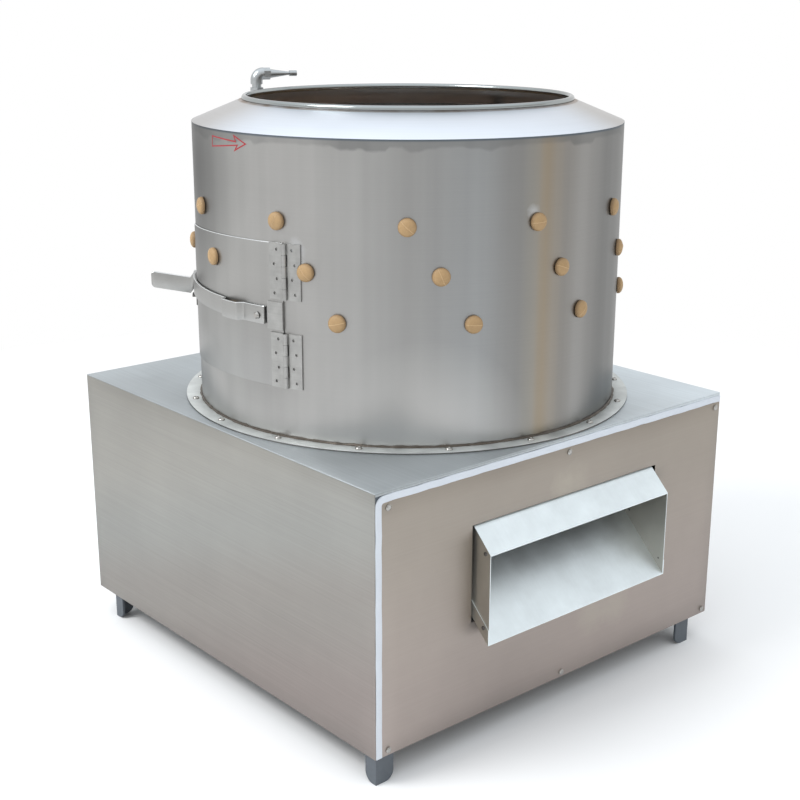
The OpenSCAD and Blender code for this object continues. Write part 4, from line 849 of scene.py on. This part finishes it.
# Rotation arrow painted on the drum: corners as (degrees round the drum, height)
arrow = {"corners": ((171.8, 832.0), (182.5, 828.8), (181.8, 837.3), (186.9, 826.1), (181.9, 813.9),
                     (183.0, 822.2), (171.6, 815.9)),
         "line": 1.8, "paint": 0.12, "cuts": 5}


def makeArrow():
    radius = drum["radius"] + arrow["paint"]
    bm = bmesh.new()
    flat = bm.faces.new([bm.verts.new((math.radians(a) * radius, 0, z)) for a, z in arrow["corners"]])
    bm.normal_update()
    bmesh.ops.inset_individual(bm, faces=[flat], thickness=arrow["line"], use_even_offset=True)
    bmesh.ops.delete(bm, geom=[flat], context="FACES_ONLY")
    bmesh.ops.subdivide_edges(bm, edges=bm.edges[:], cuts=arrow["cuts"], use_grid_fill=True)
    for vert in bm.verts:
        vert.co = polar(axis, radius, math.degrees(vert.co.x / radius), vert.co.z)
    wall(bm, arrow["paint"], outwards)
    finishPiece(bm, "drum_arrow", markFinish, "frame_body")


makeArrow()


# Cabinet: thin sheets that are never quite flat
sheet = {"wave": 0.5, "waveSize": 0.006, "pitch": 30.0, "edge": 0.5}


def wavySheet(name, node, normal, finish, openings=()):
    low, high = boxOf(node)
    size = high - low
    flat = max(range(3), key=lambda i: abs(normal[i]))
    across = [i for i in range(3) if i != flat]
    bm = bmesh.new()
    bmesh.ops.create_grid(bm, x_segments=round(size[across[0]] / sheet["pitch"]),
                          y_segments=round(size[across[1]] / sheet["pitch"]), size=0.5)
    outer = high[flat] if normal[flat] > 0 else low[flat]
    for vert in bm.verts:
        place = Vector((0, 0, 0))
        place[flat] = outer
        place[across[0]] = low[across[0]] + (vert.co.x + 0.5) * size[across[0]]
        place[across[1]] = low[across[1]] + (vert.co.y + 0.5) * size[across[1]]
        vert.co = place
    for first, last in openings:
        for i in across:
            for value in (first[i], last[i]):
                plane = Vector((0, 0, 0))
                plane[i] = 1
                point = low.copy()
                point[i] = value
                bmesh.ops.bisect_plane(bm, geom=bm.verts[:] + bm.edges[:] + bm.faces[:], dist=0.001,
                                       plane_co=point, plane_no=plane)
        gone = [f for f in bm.faces
                if all(first[i] < f.calc_center_median()[i] < last[i] for i in across)]
        bmesh.ops.delete(bm, geom=gone, context="FACES")
    inside = [v for v in bm.verts if not v.is_boundary]
    for vert in inside:
        sag = noise.noise(vert.co * sheet["waveSize"]) * sheet["wave"]
        vert.co -= Vector(normal) * abs(sag)
    wall(bm, size[flat], lambda point: Vector(normal))
    softEdges(bm, sheet["edge"])
    finishPiece(bm, name, finish, "frame_body", (node,))


slot = {"low": (-182.7, 0, 189.8), "high": (202.7, 0, 333.0)}
deck = {"hole": 316.0, "holeSteps": 96, "sheet": 1.5, "lip": 5.0, "lipFromLeft": 1.5, "edge": 0.9}


def makeDeck():
    low, high = boxOf("deck_plate")
    bm = bmesh.new()
    corners = [bm.verts.new((x, y, high.z)) for x, y in
               ((low.x, low.y), (high.x, low.y), (high.x, high.y), (low.x, high.y))]
    rim = [bm.edges.new((corners[i - 1], corners[i])) for i in range(4)]
    hole = bmesh.ops.create_circle(bm, cap_ends=False, segments=deck["holeSteps"],
                                   radius=deck["hole"])["verts"]
    bmesh.ops.translate(bm, vec=(axis.x, axis.y, high.z), verts=hole)
    rim += list({e for v in hole for e in v.link_edges})
    bmesh.ops.triangle_fill(bm, use_beauty=True, use_dissolve=False, edges=rim)
    wall(bm, deck["sheet"], lambda point: Vector((0, 0, 1)))
    fold = bmesh.ops.create_cube(bm, size=1)["verts"]
    size = Vector((high.x - low.x - deck["lipFromLeft"], deck["sheet"], deck["lip"] - deck["sheet"]))
    bmesh.ops.scale(bm, vec=size, verts=fold)
    middle = Vector((high.x - size.x / 2, low.y + size.y / 2, high.z - deck["sheet"] - size.z / 2))
    bmesh.ops.translate(bm, vec=middle, verts=fold)
    softEdges(bm, deck["edge"], segments=3)
    finishPiece(bm, "cabinet_deck", finishes["deck_sheet"], "frame_body", ("deck_plate",))


# Soft white seal that shows round the front panel's left and top edges
seal = {"width": 10.0, "innerCorner": 4.0, "edge": 0.9, "steps": 18, "wobble": 0.9}


def makeSeal():
    low, high = boxOf("panel_seal")
    bm = bmesh.new()
    edge = newEdge(bm, (low.x, low.y, low.z), (low.x + seal["width"], low.y, low.z))
    turn = seal["width"] + seal["innerCorner"]
    for i in range(seal["steps"]):
        edge = sweepLine(bm, edge, (0, 0, (high.z - turn - low.z) / seal["steps"]))
    edge = sweepArc(bm, edge, (low.x + turn, low.y, high.z - turn), "Y", 90, 8)
    for i in range(2 * seal["steps"]):
        edge = sweepLine(bm, edge, ((high.x - low.x - turn) / seal["steps"] / 2, 0, 0))
    for vert in bm.verts:
        sway = noise.noise(vert.co * 0.04) * seal["wobble"]
        vert.co += Vector((sway, 0, 0)) if vert.co.z < high.z - turn else Vector((0, 0, sway))
    wall(bm, high.y - low.y, lambda point: Vector((0, -1, 0)))
    softEdges(bm, seal["edge"], segments=3)
    finishPiece(bm, "front_seal", finishes["seal_rubber"], "frame_body", ("panel_seal",))


makeDeck()
wavySheet("cabinet_left", "left_side_panel", (-1, 0, 0), finishes["cabinet_sheet"])
wavySheet("cabinet_right", "right_side_panel", (1, 0, 0), finishes["cabinet_sheet"])
wavySheet("cabinet_back", "back_panel", (0, 1, 0), finishes["cabinet_sheet"])
wavySheet("cabinet_front", "front_panel", (0, -1, 0), frontFinish, ((slot["low"], slot["high"]),))
makeSeal()
print("cabinet made")


# Studio: pale floor that curves up behind, an even sky and one soft lamp
studio = {"width": 40.0, "front": 24.0, "behind": 3.4, "curve": 1.6, "height": 3.2,
          "floor": (0.93, 0.93, 0.93), "zenith": (1.28, 1.34, 1.40), "left": (0.74, 0.74, 0.73),
          "right": (0.5, 0.48, 0.45),
          "brightSide": 155.0, "lampPlace": (-2.6, 0.6, 3.2), "lampSize": 1.6, "lampPower": 70.0,
          "shadowReach": (1.2, 2.2)}


def makeStudio():
    forward = -Vector((towardsCamera.x, towardsCamera.y, 0)).normalized()
    side = Vector((-forward.y, forward.x, 0)) * studio["width"] / 2
    bm = bmesh.new()
    start = -forward * studio["front"]
    edge = newEdge(bm, start - side, start + side)
    edge = sweepLine(bm, edge, forward * (studio["front"] + studio["behind"]))
    turn = forward * studio["behind"] + Vector((0, 0, studio["curve"]))
    edge = sweepArc(bm, edge, turn, side.normalized(), -90, 16)
    sweepLine(bm, edge, Vector((0, 0, studio["height"])))
    bmesh.ops.remove_doubles(bm, verts=bm.verts[:], dist=0.001)
    for face in bm.faces:
        face.smooth = True
    mesh = bpy.data.meshes.new("studio floor")
    bm.to_mesh(mesh)
    bm.free()
    material, tree, shader = newFinish("studio paper", 0.0, 0.9)
    paper = varied(tree, studio["floor"], [(grain(tree, (2, 2, 2)), 0.02)])
    tree.links.new(paper, shader.inputs["Base Color"])

    # plain white further off than the shadow reaches
    glow = tree.nodes.new("ShaderNodeEmission")
    path = tree.nodes.new("ShaderNodeLightPath")
    seen = reckon(tree, "MAXIMUM", path.outputs["Is Camera Ray"], path.outputs["Is Glossy Ray"])
    seen = reckon(tree, "MAXIMUM", seen, path.outputs["Is Transmission Ray"])
    away = spread(tree, distance(tree, coords(tree), (0, 0, 0)), *studio["shadowReach"])
    pick = tree.nodes.new("ShaderNodeMixShader")
    tree.links.new(reckon(tree, "MULTIPLY", seen, away), pick.inputs[0])
    tree.links.new(shader.outputs[0], pick.inputs[1])
    tree.links.new(glow.outputs[0], pick.inputs[2])
    tree.links.new(pick.outputs[0], tree.nodes["Material Output"].inputs["Surface"])
    mesh.materials.append(material)
    floor = bpy.data.objects.new("studio_floor", mesh)
    scene.collection.objects.link(floor)


def makeSky():
    world = bpy.data.worlds.new("sky")
    scene.world = world
    world.use_nodes = True
    tree = world.node_tree
    ray = tree.nodes.new("ShaderNodeTexCoord").outputs["Generated"]
    angle = math.radians(studio["brightSide"])
    sideways = spread(tree, along(tree, ray, (math.cos(angle), math.sin(angle), 0)), -1.0, 1.0)
    around = mixed(tree, studio["right"], studio["left"], sideways)
    above = mixed(tree, around, studio["zenith"], part(tree, ray, 2))
    tree.links.new(above, tree.nodes["Background"].inputs["Color"])


def makeLamp():
    data = bpy.data.lights.new("softbox", "AREA")
    data.shape = "DISK"
    data.size = studio["lampSize"]
    data.energy = studio["lampPower"]
    lamp = bpy.data.objects.new("softbox", data)
    lamp.location = studio["lampPlace"]
    lamp.rotation_euler = (Vector((0, 0, 0.5)) - lamp.location).to_track_quat("-Z", "Y").to_euler()
    scene.collection.objects.link(lamp)


makeStudio()
makeSky()
makeLamp()
print("studio made")
